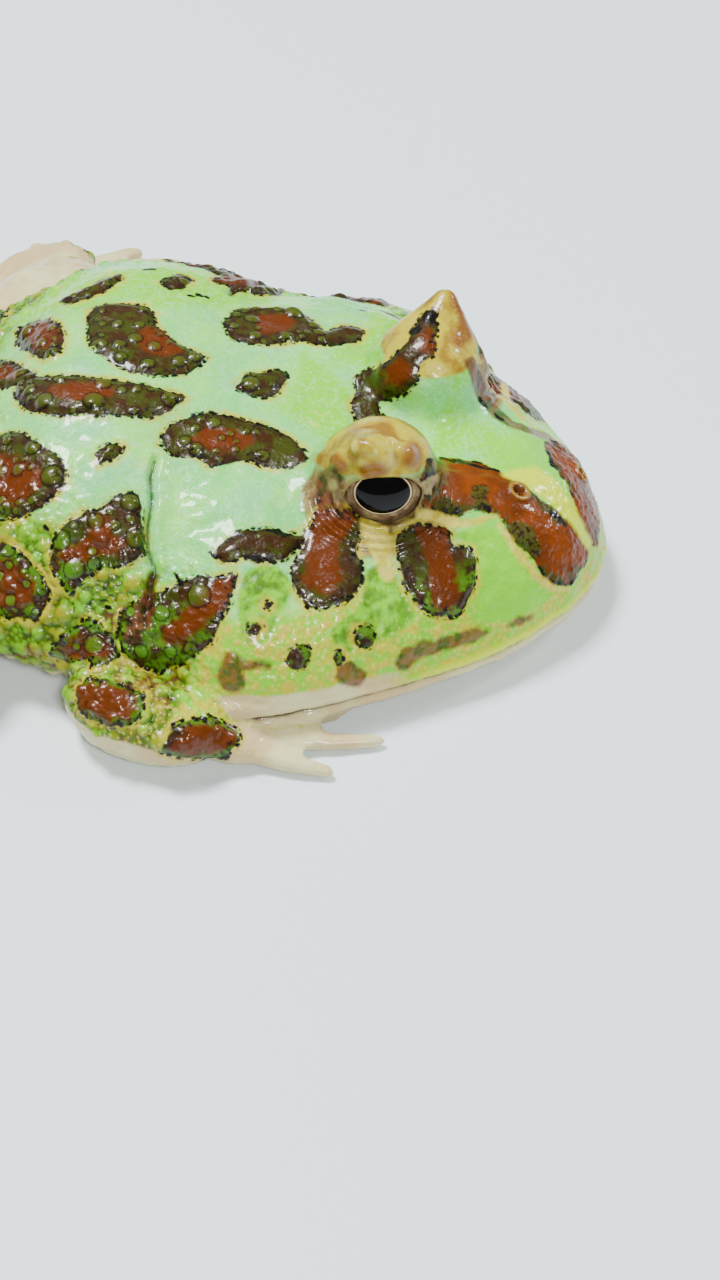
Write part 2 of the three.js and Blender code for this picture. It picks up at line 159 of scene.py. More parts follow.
@dataclass(frozen=True)
class PhotoView:
    """The camera as fitted to the photo, placed by the straight frog's axes.

    Marks are read in an enlarged crop of the photo.
    """

    axes: FrogAxes
    from_mm: tuple[float, float, float] = (-155.27, -20.78, 140.25)
    aim_mm: tuple[float, float, float] = (-14.92, 22.13, 0.0)
    roll_degrees: float = 0.8
    lens_mm: float = 35.625
    sensor_mm: float = 24.0
    near_mm: float = 5.0
    photo_wide: int = 720
    photo_high: int = 1280
    crop_left: int = 0
    crop_top: int = 230
    enlargement: float = 2.6

    @property
    def place_mm(self) -> Vector:
        """Where the camera stands in the row frame."""
        return Vector(self.from_mm) + Vector((self.axes.middle_x, self.axes.snout_y, 0))

    @property
    def turn(self) -> Quaternion:
        """The camera's rotation."""
        aim = Vector(self.aim_mm) - Vector(self.from_mm)
        roll = Quaternion((0, 0, 1), math.radians(self.roll_degrees))
        return aim.to_track_quat("-Z", "Y") @ roll

    def ray(self, mark: Pixel) -> tuple[Vector, Vector]:
        """The line of sight through a point of the enlarged crop.

        Args:
            mark: Pixels across and down in the enlarged crop.

        Returns:
            Its start in millimetres and its direction.
        """
        focal = self.lens_mm / self.sensor_mm * self.photo_high
        across = self.crop_left + mark[0] / self.enlargement - self.photo_wide / 2
        down = self.crop_top + mark[1] / self.enlargement - self.photo_high / 2
        direction = self.turn @ Vector((across / focal, -down / focal, -1)).normalized()
        return self.place_mm, direction

    def build(self) -> bpy.types.Object:
        """Makes the scene's camera."""
        data = bpy.data.cameras.new("photo_camera")
        data.sensor_fit = "VERTICAL"
        data.sensor_height = self.sensor_mm
        data.lens = self.lens_mm
        data.clip_start = self.near_mm * MM
        camera = bpy.data.objects.new("photo_camera", data)
        camera.location = self.place_mm * MM
        camera.rotation_mode = "QUATERNION"
        camera.rotation_quaternion = self.turn
        bpy.context.scene.collection.objects.link(camera)
        bpy.context.scene.camera = camera
        return camera


class Paint(Enum):
    """What a marking is painted with. The value is the name of its layer on the skin."""

    BLOTCH = "blotch"
    CORE = "core"
    MASK = "mask"
    CREAM = "cream"
    GOLD = "gold"
    # purple-brown smudges, and the painted shade below the neck crease
    SMUDGE = "smudge"
    LIME = "lime"
    SPRING = "spring"
    ORANGE = "orange"
    OLIVE = "olive"
    FLECK = "fleck"


@dataclass(frozen=True)
class Outline:
    """A marking by its outline in the enlarged crop of the photo."""

    name: str
    paint: Paint
    points: tuple[Pixel, ...]
    both_sides: bool = False
    depth_mm: float = 5.0


@dataclass(frozen=True)
class Streak:
    """A line on the skin, by its middle in the enlarged crop and half its width."""

    name: str
    paint: Paint
    points: tuple[Pixel, ...]
    half_width_mm: tuple[float, ...]
    both_sides: bool = False


@dataclass(frozen=True)
class Spot:
    """A round or long marking on a side that the photo doesn't show, on the straight frog."""

    name: str
    paint: Paint
    centre_mm: tuple[float, float, float]
    half_long_mm: float
    half_wide_mm: float
    turn_degrees: float = 0.0


BLOTCHES = (
    Outline("shoulder_near", Paint.BLOTCH, (
        (418, 548), (428, 515), (470, 490), (530, 477), (590, 480), (625, 497), (670, 502), (720, 522),
        (765, 548), (799, 580), (795, 602), (760, 621), (705, 618), (660, 602), (620, 602), (585, 618),
        (545, 611), (515, 592), (475, 588), (436, 575))),
    Outline("shoulder_far", Paint.BLOTCH, (
        (580, 245), (602, 215), (655, 204), (730, 205), (790, 220), (828, 248), (852, 262), (900, 250),
        (946, 264), (938, 282), (890, 298), (830, 301), (780, 291), (720, 300), (660, 298), (608, 280))),
    Outline("middle", Paint.BLOTCH, (
        (609, 412), (640, 378), (690, 370), (742, 367), (738, 400), (712, 434), (670, 438), (640, 424))),
    Outline("long", Paint.BLOTCH, (
        (42, 420), (62, 391), (115, 379), (200, 381), (280, 386), (350, 396), (420, 412), (481, 436),
        (455, 460), (410, 485), (330, 487), (250, 480), (150, 480), (80, 468), (50, 450))),
    Outline("large_far", Paint.BLOTCH, (
        (228, 240), (240, 205), (290, 190), (360, 194), (398, 216), (404, 250), (445, 282), (495, 310),
        (531, 335), (515, 362), (460, 374), (400, 379), (330, 362), (270, 332), (238, 300))),
    Outline("small_far", Paint.BLOTCH, (
        (40, 290), (55, 255), (100, 235), (150, 245), (165, 280), (155, 320), (115, 335), (75, 320))),
    Outline("edge_far", Paint.BLOTCH, (
        (-60, 345), (0, 340), (50, 352), (100, 380), (60, 402), (0, 415), (-60, 410))),
    Outline("large_near", Paint.BLOTCH, (
        (-80, 560), (0, 530), (60, 530), (120, 568), (165, 602), (166, 660), (130, 703), (60, 742),
        (0, 748), (-80, 700))),
    Outline("flank_low", Paint.BLOTCH, (
        (-60, 830), (10, 813), (60, 848), (108, 900), (125, 950), (100, 1010), (40, 1002), (-60, 985)),
        both_sides=True),
    Outline("back_fleck", Paint.BLOTCH, ((252, 580), (287, 556), (321, 566), (300, 590), (260, 612))),
    Outline("flank_high", Paint.BLOTCH, (
        (133, 845), (158, 775), (213, 738), (268, 722), (308, 690), (362, 688), (366, 740), (377, 792),
        (370, 852), (322, 872), (252, 882), (192, 940), (150, 900)), both_sides=True),
    Outline("behind_cheek", Paint.BLOTCH, (
        (400, 950), (450, 928), (510, 900), (560, 902), (612, 898), (600, 960), (570, 1030), (540, 1082),
        (480, 1122), (420, 1145), (340, 1122), (308, 1052), (320, 992), (360, 960)), both_sides=True),
    Outline("flank_front", Paint.BLOTCH, (
        (140, 1080), (190, 1040), (240, 1010), (290, 1058), (312, 1102), (270, 1132), (200, 1130),
        (150, 1112)), both_sides=True),
    Outline("behind_eye", Paint.BLOTCH, (
        (560, 838), (600, 800), (640, 780), (700, 775), (760, 790), (802, 798), (770, 830), (742, 858),
        (690, 862), (640, 850), (590, 866))),
    Outline("cheek_back", Paint.BLOTCH, (
        (790, 800), (806, 760), (850, 728), (905, 735), (942, 765), (932, 800), (925, 842), (945, 872),
        (936, 922), (905, 960), (850, 986), (798, 974), (764, 930), (752, 890), (772, 848)),
        both_sides=True),
    Outline("cheek_front", Paint.BLOTCH, (
        (1030, 822), (1040, 788), (1080, 768), (1122, 774), (1168, 778), (1182, 820), (1228, 832),
        (1237, 912), (1216, 970), (1190, 1001), (1140, 1004), (1090, 980), (1060, 940), (1043, 890)),
        both_sides=True),
    Outline("far_lid_band", Paint.BLOTCH, (
        (1085, 240), (1105, 208), (1138, 214), (1136, 270), (1128, 322), (1092, 352), (1084, 398),
        (1040, 430), (1002, 440), (992, 470), (1038, 500), (1026, 525), (970, 511), (930, 496),
        (911, 460), (928, 420), (925, 390), (938, 365), (985, 354), (1030, 320), (1060, 290)),
        depth_mm=3.0),
    Outline("far_top_speck", Paint.BLOTCH, (
        (420, 130), (460, 116), (500, 126), (480, 151), (440, 152))),
    Outline("far_top_streak", Paint.BLOTCH, (
        (160, 184), (230, 148), (300, 119), (312, 131), (240, 172), (180, 193))),
    Outline("far_top_rust", Paint.BLOTCH, (
        (550, 130), (600, 119), (680, 138), (735, 166), (690, 172), (610, 157))),
    Outline("by_far_lid", Paint.BLOTCH, ((958, 180), (990, 180), (1018, 190), (985, 194))),
    Outline("jaw_spot_upper", Paint.BLOTCH, (
        (922, 1050), (948, 1030), (975, 1045), (970, 1078), (942, 1090)), both_sides=True),
    Outline("jaw_spot_lower", Paint.BLOTCH, ((868, 1112), (882, 1095), (896, 1112), (882, 1138))),
    Outline("jaw_ring", Paint.BLOTCH, (
        (748, 1110), (765, 1080), (792, 1078), (803, 1105), (790, 1138), (760, 1138)), both_sides=True),
    Outline("jaw_dot", Paint.BLOTCH, ((645, 1035), (660, 1018), (682, 1032), (670, 1054), (652, 1050))),
    Outline("jaw_dot_back", Paint.BLOTCH, ((683, 970), (695, 959), (707, 971), (696, 983))),
    Outline("forearm_upper", Paint.BLOTCH, (
        (193, 1195), (225, 1168), (300, 1178), (362, 1200), (370, 1250), (340, 1290), (290, 1288),
        (225, 1262)), depth_mm=4.0),
    Outline("forearm_lower", Paint.BLOTCH, (
        (425, 1338), (455, 1290), (520, 1268), (592, 1284), (624, 1312), (600, 1362), (550, 1377),
        (480, 1371), (430, 1358)), depth_mm=4.0),
)

CORES = (
    Outline("shoulder_near_core", Paint.CORE, (
        (498, 545), (540, 522), (600, 522), (652, 548), (625, 574), (560, 582), (515, 566))),
    Outline("shoulder_far_core", Paint.CORE, (
        (664, 250), (688, 226), (742, 226), (764, 250), (722, 272), (688, 276))),
    Outline("long_core", Paint.CORE, (
        (120, 425), (180, 403), (270, 408), (300, 430), (250, 446), (180, 448))),
    Outline("large_far_core", Paint.CORE, (
        (372, 262), (410, 262), (450, 295), (470, 322), (420, 330), (370, 312))),
    Outline("small_far_core", Paint.CORE, (
        (62, 265), (105, 240), (148, 258), (148, 295), (110, 315), (80, 298))),
    Outline("edge_far_core", Paint.CORE, ((-60, 362), (20, 358), (60, 380), (0, 398), (-60, 396))),
    Outline("large_near_core", Paint.CORE, (
        (-40, 600), (50, 598), (108, 640), (98, 690), (30, 715), (-40, 690))),
    Outline("flank_low_core", Paint.CORE, (
        (-40, 862), (20, 850), (70, 895), (98, 935), (60, 985), (-40, 960)), both_sides=True),
    Outline("flank_high_core", Paint.CORE, (
        (150, 862), (172, 820), (228, 796), (235, 752), (282, 742), (296, 788), (332, 812), (280, 842),
        (210, 862)), both_sides=True),
    Outline("behind_cheek_core", Paint.CORE, (
        (436, 1040), (490, 992), (540, 930), (600, 908), (594, 972), (545, 1012), (505, 1062),
        (450, 1080)), both_sides=True),
    Outline("flank_front_core", Paint.CORE, (
        (155, 1086), (228, 1052), (290, 1078), (274, 1118), (190, 1117)), both_sides=True),
    Outline("cheek_back_core", Paint.CORE, (
        (800, 800), (822, 748), (880, 738), (918, 770), (884, 820), (884, 890), (862, 944), (808, 926),
        (790, 890)), both_sides=True),
    Outline("cheek_front_core", Paint.CORE, (
        (1085, 780), (1160, 782), (1166, 850), (1186, 900), (1190, 952), (1172, 992), (1128, 982),
        (1112, 905), (1098, 845)), both_sides=True),
    Outline("far_lid_core", Paint.CORE, (
        (1000, 362), (1045, 340), (1082, 360), (1060, 395), (1018, 402)), depth_mm=3.0),
    Outline("far_lid_core_upper", Paint.CORE, (
        (1092, 290), (1112, 262), (1130, 280), (1122, 318), (1098, 322)), depth_mm=3.0),
    Outline("far_top_rust_core", Paint.CORE, ((560, 132), (610, 126), (680, 150), (620, 152))),
    Outline("forearm_upper_core", Paint.CORE, (
        (205, 1196), (240, 1182), (320, 1195), (350, 1215), (340, 1262), (290, 1276), (230, 1248)),
        depth_mm=4.0),
    Outline("forearm_lower_core", Paint.CORE, (
        (450, 1335), (500, 1288), (580, 1296), (612, 1318), (580, 1352), (500, 1362)), depth_mm=4.0),
)

HEAD_MARKS = (
    Outline("mask", Paint.MASK, (
        (1092, 650), (1112, 600), (1150, 594), (1232, 600), (1292, 622), (1345, 648), (1388, 680),
        (1412, 705), (1450, 722), (1500, 758), (1528, 800), (1528, 850), (1500, 900), (1466, 926),
        (1420, 908), (1388, 860), (1330, 800), (1308, 752), (1235, 728), (1188, 742), (1130, 728),
        (1092, 700))),
    Outline("far_band", Paint.MASK, (
        (1416, 560), (1442, 620), (1485, 688), (1510, 757), (1532, 817), (1553, 817), (1557, 757),
        (1549, 688), (1519, 620), (1476, 568), (1440, 548)), depth_mm=4.0),
    Streak("far_band_thin", Paint.SMUDGE, (
        (1228, 350), (1252, 415), (1285, 464), (1329, 502), (1383, 524), (1433, 545)),
        (1.0, 1.3, 1.2, 1.1, 1.0, 1.2)),
    Streak("far_band_outer", Paint.SMUDGE, ((1252, 322), (1329, 404), (1422, 481)), (0.9, 1.0, 0.7)),
    Streak("under_mask", Paint.CREAM, (
        (1045, 735), (1092, 738), (1150, 752), (1200, 766), (1292, 742)),
        (0.5, 0.65, 0.7, 0.6, 0.35), both_sides=True),
    Streak("mask_edge", Paint.CREAM, (
        (1300, 765), (1318, 800), (1350, 845), (1390, 895), (1435, 932), (1475, 935)),
        (0.4, 0.5, 0.5, 0.55, 0.5, 0.4), both_sides=True),
    Streak("cheek_bar", Paint.CREAM, (
        (965, 770), (985, 810), (995, 850), (1010, 900)), (1.3, 1.5, 1.2, 0.8), both_sides=True),
    Outline("midline", Paint.GOLD, (
        (1307, 630), (1379, 614), (1427, 640), (1472, 690), (1511, 750), (1540, 810), (1526, 828),
        (1487, 770), (1433, 712), (1385, 676), (1337, 652)), depth_mm=4.0),
    Streak("far_line", Paint.CREAM, (
        (1240, 335), (1278, 370), (1313, 439), (1347, 482), (1400, 515)), (0.6, 0.7, 0.7, 0.6, 0.5)),
    Outline("mask_spots_back", Paint.OLIVE, (
        (1125, 708), (1163, 688), (1187, 706), (1205, 738), (1169, 750), (1136, 732))),
    Outline("mask_spots_middle", Paint.OLIVE, (
        (1224, 668), (1253, 658), (1272, 678), (1266, 702), (1282, 726), (1257, 738), (1236, 712))),
    Outline("mask_olive_low", Paint.OLIVE, (
        (1313, 768), (1356, 757), (1394, 792), (1403, 848), (1360, 836), (1321, 800))),
    Outline("mask_olive_high", Paint.OLIVE, (
        (1394, 697), (1442, 719), (1476, 760), (1455, 768), (1425, 745))),
    Outline("by_eye", Paint.SMUDGE, (
        (826, 640), (860, 612), (890, 630), (896, 690), (918, 738), (880, 760), (830, 750), (812, 700)),
        both_sides=True),
    Outline("far_lid_orange", Paint.ORANGE, (
        (1168, 150), (1192, 175), (1215, 195), (1238, 262), (1214, 292), (1190, 308), (1176, 280),
        (1192, 232), (1172, 190)), depth_mm=3.0),
    Outline("lid_orange_back", Paint.ORANGE, ((858, 590), (882, 582), (905, 615), (884, 640), (862, 622))),
    Outline("lid_orange_front", Paint.ORANGE, (
        (1045, 568), (1078, 552), (1098, 585), (1080, 618), (1048, 610))),
    Outline("lid_orange_middle", Paint.ORANGE, (
        (935, 612), (985, 600), (1012, 622), (980, 642), (945, 640))),
    Outline("lip_streak", Paint.SMUDGE, (
        (1030, 1122), (1058, 1080), (1120, 1064), (1180, 1050), (1238, 1034), (1272, 1046),
        (1220, 1076), (1150, 1096), (1092, 1120), (1045, 1146)), both_sides=True),
    Outline("lip_fleck", Paint.SMUDGE, ((1318, 1030), (1350, 1004), (1388, 999), (1360, 1026)),
            both_sides=True),
    Outline("jaw_smudge", Paint.SMUDGE, (
        (872, 1160), (900, 1122), (946, 1146), (942, 1184), (900, 1192))),
    Outline("corner_smudge", Paint.SMUDGE, (
        (560, 1160), (590, 1100), (622, 1110), (642, 1178), (600, 1206)), both_sides=True),
    Streak("corner_tail", Paint.SMUDGE, ((630, 1140), (670, 1128), (700, 1135)), (0.5, 0.4, 0.3)),
    # painted shade below the neck crease, in the purple-brown of the smudges
    Streak("crease_shade", Paint.SMUDGE, ((400, 905), (388, 950), (372, 1010), (330, 1060)),
           (0.5, 0.9, 1.1, 0.5), both_sides=True),
)

FLECKS = (
    Streak("mask_top", Paint.FLECK, ((1124, 600), (1180, 601), (1240, 612), (1298, 625)),
           (0.2, 0.35, 0.3, 0.15)),
    Streak("mask_spot_low", Paint.FLECK, ((1172, 738), (1186, 730)), (0.3, 0.35)),
    Streak("mask_spot_front", Paint.FLECK, ((1262, 722), (1270, 730)), (0.3, 0.25)),
    Streak("mask_edge_spots", Paint.FLECK, ((1432, 735), (1452, 748), (1468, 770)), (0.3, 0.35, 0.2)),
    Streak("far_cheek_marks", Paint.FLECK, ((1355, 446), (1385, 462), (1414, 478)), (0.2, 0.35, 0.2)),
    Streak("far_band_edge", Paint.FLECK, ((1250, 440), (1262, 456)), (0.35, 0.3)),
    Streak("far_band_edge_low", Paint.FLECK, ((1290, 478), (1306, 490)), (0.3, 0.3)),
    Streak("far_band_spots", Paint.FLECK, ((1430, 580), (1436, 610)), (0.3, 0.4)),
    Streak("lid_bead_top", Paint.FLECK, ((1115, 226), (1118, 230)), (0.75, 0.75)),
    Streak("lid_bead_low", Paint.FLECK, ((1078, 262), (1082, 266)), (0.65, 0.65)),
    Streak("behind_cheek_tick_a", Paint.FLECK, ((548, 838), (560, 852), (580, 856)), (0.12, 0.28, 0.15),
           both_sides=True),
    Streak("behind_cheek_tick_b", Paint.FLECK, ((456, 893), (466, 912), (474, 922)), (0.12, 0.25, 0.12),
           both_sides=True),
    Streak("behind_cheek_tick_c", Paint.FLECK, ((618, 790), (630, 800)), (0.2, 0.25), both_sides=True),
    Streak("behind_eye_dark", Paint.FLECK, ((640, 852), (672, 858), (708, 852)), (0.25, 0.45, 0.2),
           both_sides=True),
    Streak("nape_tick", Paint.FLECK, ((700, 782), (722, 786), (748, 796)), (0.25, 0.5, 0.2)),
    Streak("flank_tick_a", Paint.FLECK, ((280, 980), (292, 982)), (0.2, 0.2), both_sides=True),
    Streak("flank_tick_b", Paint.FLECK, ((118, 772), (124, 778)), (0.2, 0.25), both_sides=True),
    Streak("far_back_dots_a", Paint.FLECK, ((492, 172), (502, 174)), (0.3, 0.25)),
    Streak("far_back_dots_b", Paint.FLECK, ((516, 172), (522, 174)), (0.4, 0.4)),
    Streak("far_back_dots_d", Paint.FLECK, ((534, 178), (540, 180)), (0.3, 0.3)),
    Streak("far_back_dots_c", Paint.FLECK, ((376, 106), (400, 104)), (0.3, 0.3)),
)

LIME_PATCHES = (
    Outline("far_shoulder_light", Paint.SPRING, (
        (380, 100), (470, 88), (560, 92), (640, 110), (760, 160), (700, 185), (600, 190), (500, 196),
        (400, 190), (330, 150)), depth_mm=14.0),
    Outline("far_back_light", Paint.SPRING, (
        (-60, 120), (60, 110), (180, 120), (330, 100), (380, 150), (300, 180), (200, 225), (150, 225),
        (40, 250), (-60, 260)), depth_mm=14.0),
    Outline("before_lid_light", Paint.SPRING, (
        (960, 240), (1040, 180), (1060, 230), (1000, 320), (930, 350), (880, 330), (890, 280))),
    Outline("nape_light", Paint.SPRING, (
        (800, 330), (900, 400), (905, 500), (860, 560), (820, 540), (740, 480), (760, 400))),
    Outline("snout_light", Paint.SPRING, (
        (1120, 560), (1180, 480), (1290, 520), (1380, 600), (1400, 660), (1340, 630), (1250, 580)),
        both_sides=True),
    Outline("cheek_lime_back", Paint.LIME, (
        (630, 900), (700, 870), (748, 900), (755, 950), (720, 1010), (700, 1060), (640, 1080),
        (620, 1000)), both_sides=True),
    Outline("cheek_lime_middle", Paint.LIME, (
        (955, 880), (1020, 885), (1050, 950), (1080, 1010), (1000, 1060), (900, 1100), (860, 1040),
        (930, 985)), both_sides=True),
    Outline("cheek_lime_front", Paint.LIME, (
        (1180, 790), (1290, 775), (1340, 850), (1400, 920), (1440, 950), (1340, 1010), (1250, 1020),
        (1230, 1000), (1250, 920), (1230, 830)), both_sides=True),
)

LEG_MARKS = (
    ("thigh_band", Paint.BLOTCH, (31.0, 73.0, 10.0), 3.6, 5.6, 20),
    ("thigh_core", Paint.CORE, (31.0, 73.0, 10.0), 1.8, 3.4, 20),
    ("shank_band", Paint.BLOTCH, (38.0, 84.0, 8.0), 3.0, 4.0, 0),
)

HIDDEN_MARKS = (
    Spot("rump_left", Paint.BLOTCH, (14.0, 74.0, 16.0), 6.2, 4.2, 20),
    Spot("rump_left_core", Paint.CORE, (14.0, 74.0, 16.0), 3.4, 1.9, 20),
    Spot("rump_right", Paint.BLOTCH, (-13.0, 77.0, 14.0), 5.4, 3.8, -24),
    Spot("rump_right_core", Paint.CORE, (-13.0, 77.0, 14.0), 2.8, 1.6, -24),
    Spot("rump_middle", Paint.BLOTCH, (1.0, 84.0, 12.0), 3.4, 2.6, 0),
    *(
        Spot(f"{name}_{side_name}", paint, (side * x, y, z), half_long, half_wide, side * turn)
        for side_name, side in (("left", 1), ("right", -1))
        for name, paint, (x, y, z), half_long, half_wide, turn in LEG_MARKS
    ),
)


class Region(Enum):
    """Kinds of flesh, by how many rounds of smoothing their facets need at most."""

    TRUNK = 34
    LIMB = 14
    HAND = 9
    DIGIT = 6
    LID = 10

    @classmethod
    def of(cls, node: str) -> "Region":
        """The region that a CAD node's name belongs to."""
        starts = {
            "finger": cls.DIGIT,
            "toe": cls.DIGIT,
            "hand": cls.HAND,
            "foot": cls.HAND,
            "forearm": cls.LIMB,
            "thigh": cls.LIMB,
            "shank": cls.LIMB,
            "eyelid": cls.LID,
        }
        return next((kind for start, kind in starts.items() if node.startswith(start)), cls.TRUNK)


@dataclass
class Sculpt:
    """A mesh held as arrays, in millimetres, while it is sculpted."""

    points: np.ndarray
    faces: np.ndarray
    edges: np.ndarray
    layers: dict[str, np.ndarray] = field(default_factory=dict)

    @classmethod
    def from_mesh(cls, mesh: bpy.types.Mesh) -> "Sculpt":
        """Reads a mesh of quads, with its point layers.

        Args:
            mesh: The mesh, in metres.

        Returns:
            The same mesh as arrays.
        """
        points = np.empty(len(mesh.vertices) * 3)
        mesh.vertices.foreach_get("co", points)
        loops = np.empty(len(mesh.loops), np.int64)
        mesh.loops.foreach_get("vertex_index", loops)
        edges = np.empty(len(mesh.edges) * 2, np.int64)
        mesh.edges.foreach_get("vertices", edges)
        layers = {}
        for layer in mesh.attributes:
            if layer.domain == "POINT" and layer.data_type == "FLOAT":
                values = np.empty(len(mesh.vertices))
                layer.data.foreach_get("value", values)
                layers[layer.name] = values
        return cls(points.reshape(-1, 3) / MM, loops.reshape(-1, 4), edges.reshape(-1, 2), layers)

    def write(self, mesh: bpy.types.Mesh) -> None:
        """Puts the points and layers back into the mesh they came from."""
        mesh.vertices.foreach_set("co", (self.points * MM).ravel())
        for name, values in self.layers.items():
            layer = mesh.attributes.get(name) or mesh.attributes.new(name, "FLOAT", "POINT")
            layer.data.foreach_set("value", values.astype(np.float32))
        mesh.update()

    def normals(self) -> np.ndarray:
        """Outward unit normal of each point."""
        corners = self.points[self.faces]
        faces = np.cross(corners[:, 2] - corners[:, 0], corners[:, 3] - corners[:, 1])
        summed = np.zeros_like(self.points)
        for corner in range(4):
            for axis in range(3):
                summed[:, axis] += np.bincount(
                    self.faces[:, corner], faces[:, axis], len(self.points)
                )
        return summed / np.maximum(lengths(summed), 1e-12)[:, None]

    def averaged(self, values: np.ndarray) -> np.ndarray:
        """Each point's mean over its neighbours.

        Args:
            values: One number or one row per point.

        Returns:
            The means, in the same shape.
        """
        ends = np.concatenate([self.edges, self.edges[:, ::-1]])
        total = np.bincount(ends[:, 0], minlength=len(self.points))
        rows = values.reshape(len(values), -1)
        summed = [np.bincount(ends[:, 0], row[ends[:, 1]], len(rows)) for row in rows.T]
        return (np.stack(summed, 1) / np.maximum(total, 1)[:, None]).reshape(values.shape)

    def spread(self, values: np.ndarray, rounds: int) -> np.ndarray:
        """Smooths a layer over the surface."""
        for _ in range(rounds):
            values = 0.5 * values + 0.5 * self.averaged(values)
        return values

    def relax(self, rounds: np.ndarray) -> None:
        """Smooths the points, each for its own number of rounds."""
        for done in range(int(math.ceil(rounds.max()))):
            share = 0.5 * np.clip(rounds - done, 0, 1)[:, None]
            self.points += share * (self.averaged(self.points) - self.points)


@dataclass(frozen=True)
class Granules:
    """Small domes of one kind, scattered over the skin from a seed."""

    layer: str
    smallest_mm: float
    largest_mm: float
    tall: float
    tries: int
    seed: int
    crowding: float = 1.0
    skew: float = 1.0
    foot: float = 1.15
    steepness: float = 0.75

    def scatter(self, sculpt: Sculpt, weight: np.ndarray) -> tuple[np.ndarray, np.ndarray]:
        """Picks places for the domes, no two closer than they are wide.

        Args:
            sculpt: The skin.
            weight: How likely each point is to carry a dome.

        Returns:
            The chosen points and the domes' radii in millimetres.
        """
        random = np.random.default_rng(self.seed)
        picks = random.choice(len(weight), self.tries, p=weight / weight.sum())
        share = random.random(self.tries) ** self.skew
        sizes = self.smallest_mm + (self.largest_mm - self.smallest_mm) * share
        cell = 2 * self.largest_mm * self.crowding
        filled: dict[tuple[int, int, int], list[int]] = {}
        kept: list[int] = []
        steps = [(i, j, k) for i in (-1, 0, 1) for j in (-1, 0, 1) for k in (-1, 0, 1)]
        for number, pick in enumerate(picks):
            place = sculpt.points[pick]
            home = tuple(int(value) for value in np.floor(place / cell))
            near = [
                other
                for step in steps
                for other in filled.get((home[0] + step[0], home[1] + step[1], home[2] + step[2]), ())
            ]
            room = [(sizes[number] + sizes[other]) * self.crowding for other in near]
            gaps = [math.dist(place, sculpt.points[picks[other]]) for other in near]
            if all(gap > need for gap, need in zip(gaps, room)):
                filled.setdefault(home, []).append(number)
                kept.append(number)
        return picks[kept], sizes[kept]

    def raise_on(self, sculpt: Sculpt, tree: KDTree, weight: np.ndarray) -> np.ndarray:
        """Works out the domes on the skin and keeps them as a layer of 0 to 1.

        Args:
            sculpt: The skin.
            tree: The skin's points.
            weight: How likely each point is to carry a dome.

        Returns:
            How far each point rises, in millimetres.
        """
        places, sizes = self.scatter(sculpt, weight)
        rise = np.zeros(len(sculpt.points))
        shape = np.zeros(len(sculpt.points))
        for place, size in zip(places, sizes):
            for _, index, away in tree.find_range(sculpt.points[place], size * self.foot):
                dome = max(0.0, 1 - (away / (size * self.foot)) ** 2) ** self.steepness
                shape[index] = max(shape[index], dome)
                rise[index] = max(rise[index], dome * size * self.tall)
        sculpt.layers[self.layer] = shape
        return rise


@dataclass
class Surface:
    """The smoothed skin as marks land on it, before its fine relief."""

    tree: BVHTree
    view: PhotoView
    axes: FrogAxes

    def land(self, mark: Pixel) -> tuple[np.ndarray, np.ndarray]:
        """Finds where the line of sight through a mark meets the skin, or comes nearest to it.

        Args:
            mark: Pixels across and down in the enlarged crop.

        Returns:
            The place in millimetres and the skin's normal there.
        """
        start, direction = self.view.ray(mark)
        place, normal, _, _ = self.tree.ray_cast(start, direction)
        if place is None:
            floor = -start.z / direction.z
            steps = np.linspace(0.75 * floor, floor, 120)
            found = [self.tree.find_nearest(start + direction * step) for step in steps]
            place, normal, _, _ = min(found, key=lambda hit: hit[3])
        return np.array(place), np.array(normal)

    def land_all(self, marks: tuple[Pixel, ...]) -> tuple[np.ndarray, np.ndarray]:
        """Lands several marks.

        Args:
            marks: The marks in the enlarged crop.

        Returns:
            Their places and the normals there, one row each.
        """
        landed = [self.land(mark) for mark in marks]
        return np.array([place for place, _ in landed]), np.array([normal for _, normal in landed])


def rounded_loop(points: tuple[Pixel, ...], steps: int = 3) -> tuple[Pixel, ...]:
    """A closed outline with its corners rounded by a smooth curve through all points.

    Args:
        points: The outline's points.
        steps: How many points take the place of each one.

    Returns:
        The denser outline.
    """
    knots = np.array(points, float)
    before, after = np.roll(knots, 1, 0), np.roll(knots, -1, 0)
    second = np.roll(knots, -2, 0)
    rows = []
    for step in range(steps):
        t = step / steps
        rows.append(
            0.5
            * (
                2 * knots
                + (after - before) * t
                + (2 * before - 5 * knots + 4 * after - second) * t**2
                + (3 * knots - before - 3 * after + second) * t**3
            )
        )
    return tuple(map(tuple, np.stack(rows, 1).reshape(-1, 2)))


def outline_distance(points: np.ndarray, outline: np.ndarray) -> np.ndarray:
    """Distance from points in a plane to a closed outline.

    Args:
        points: The points, two numbers each.
        outline: The outline's corners.

    Returns:
        The distances, below 0 inside.
    """
    nearest = np.full(len(points), np.inf)
    inside = np.zeros(len(points), bool)
    for start, end in zip(outline, np.roll(outline, -1, 0)):
        side = end - start
        offset = points - start
        share = np.clip(offset @ side / max(side @ side, 1e-12), 0, 1)
        nearest = np.minimum(nearest, lengths(offset - share[:, None] * side))
        spans = (start[1] > points[:, 1]) != (end[1] > points[:, 1])
        rise = side[1] if abs(side[1]) > 1e-12 else 1e-12
        inside ^= spans & (points[:, 0] < start[0] + (points[:, 1] - start[1]) * side[0] / rise)
    return np.where(inside, -nearest, nearest)


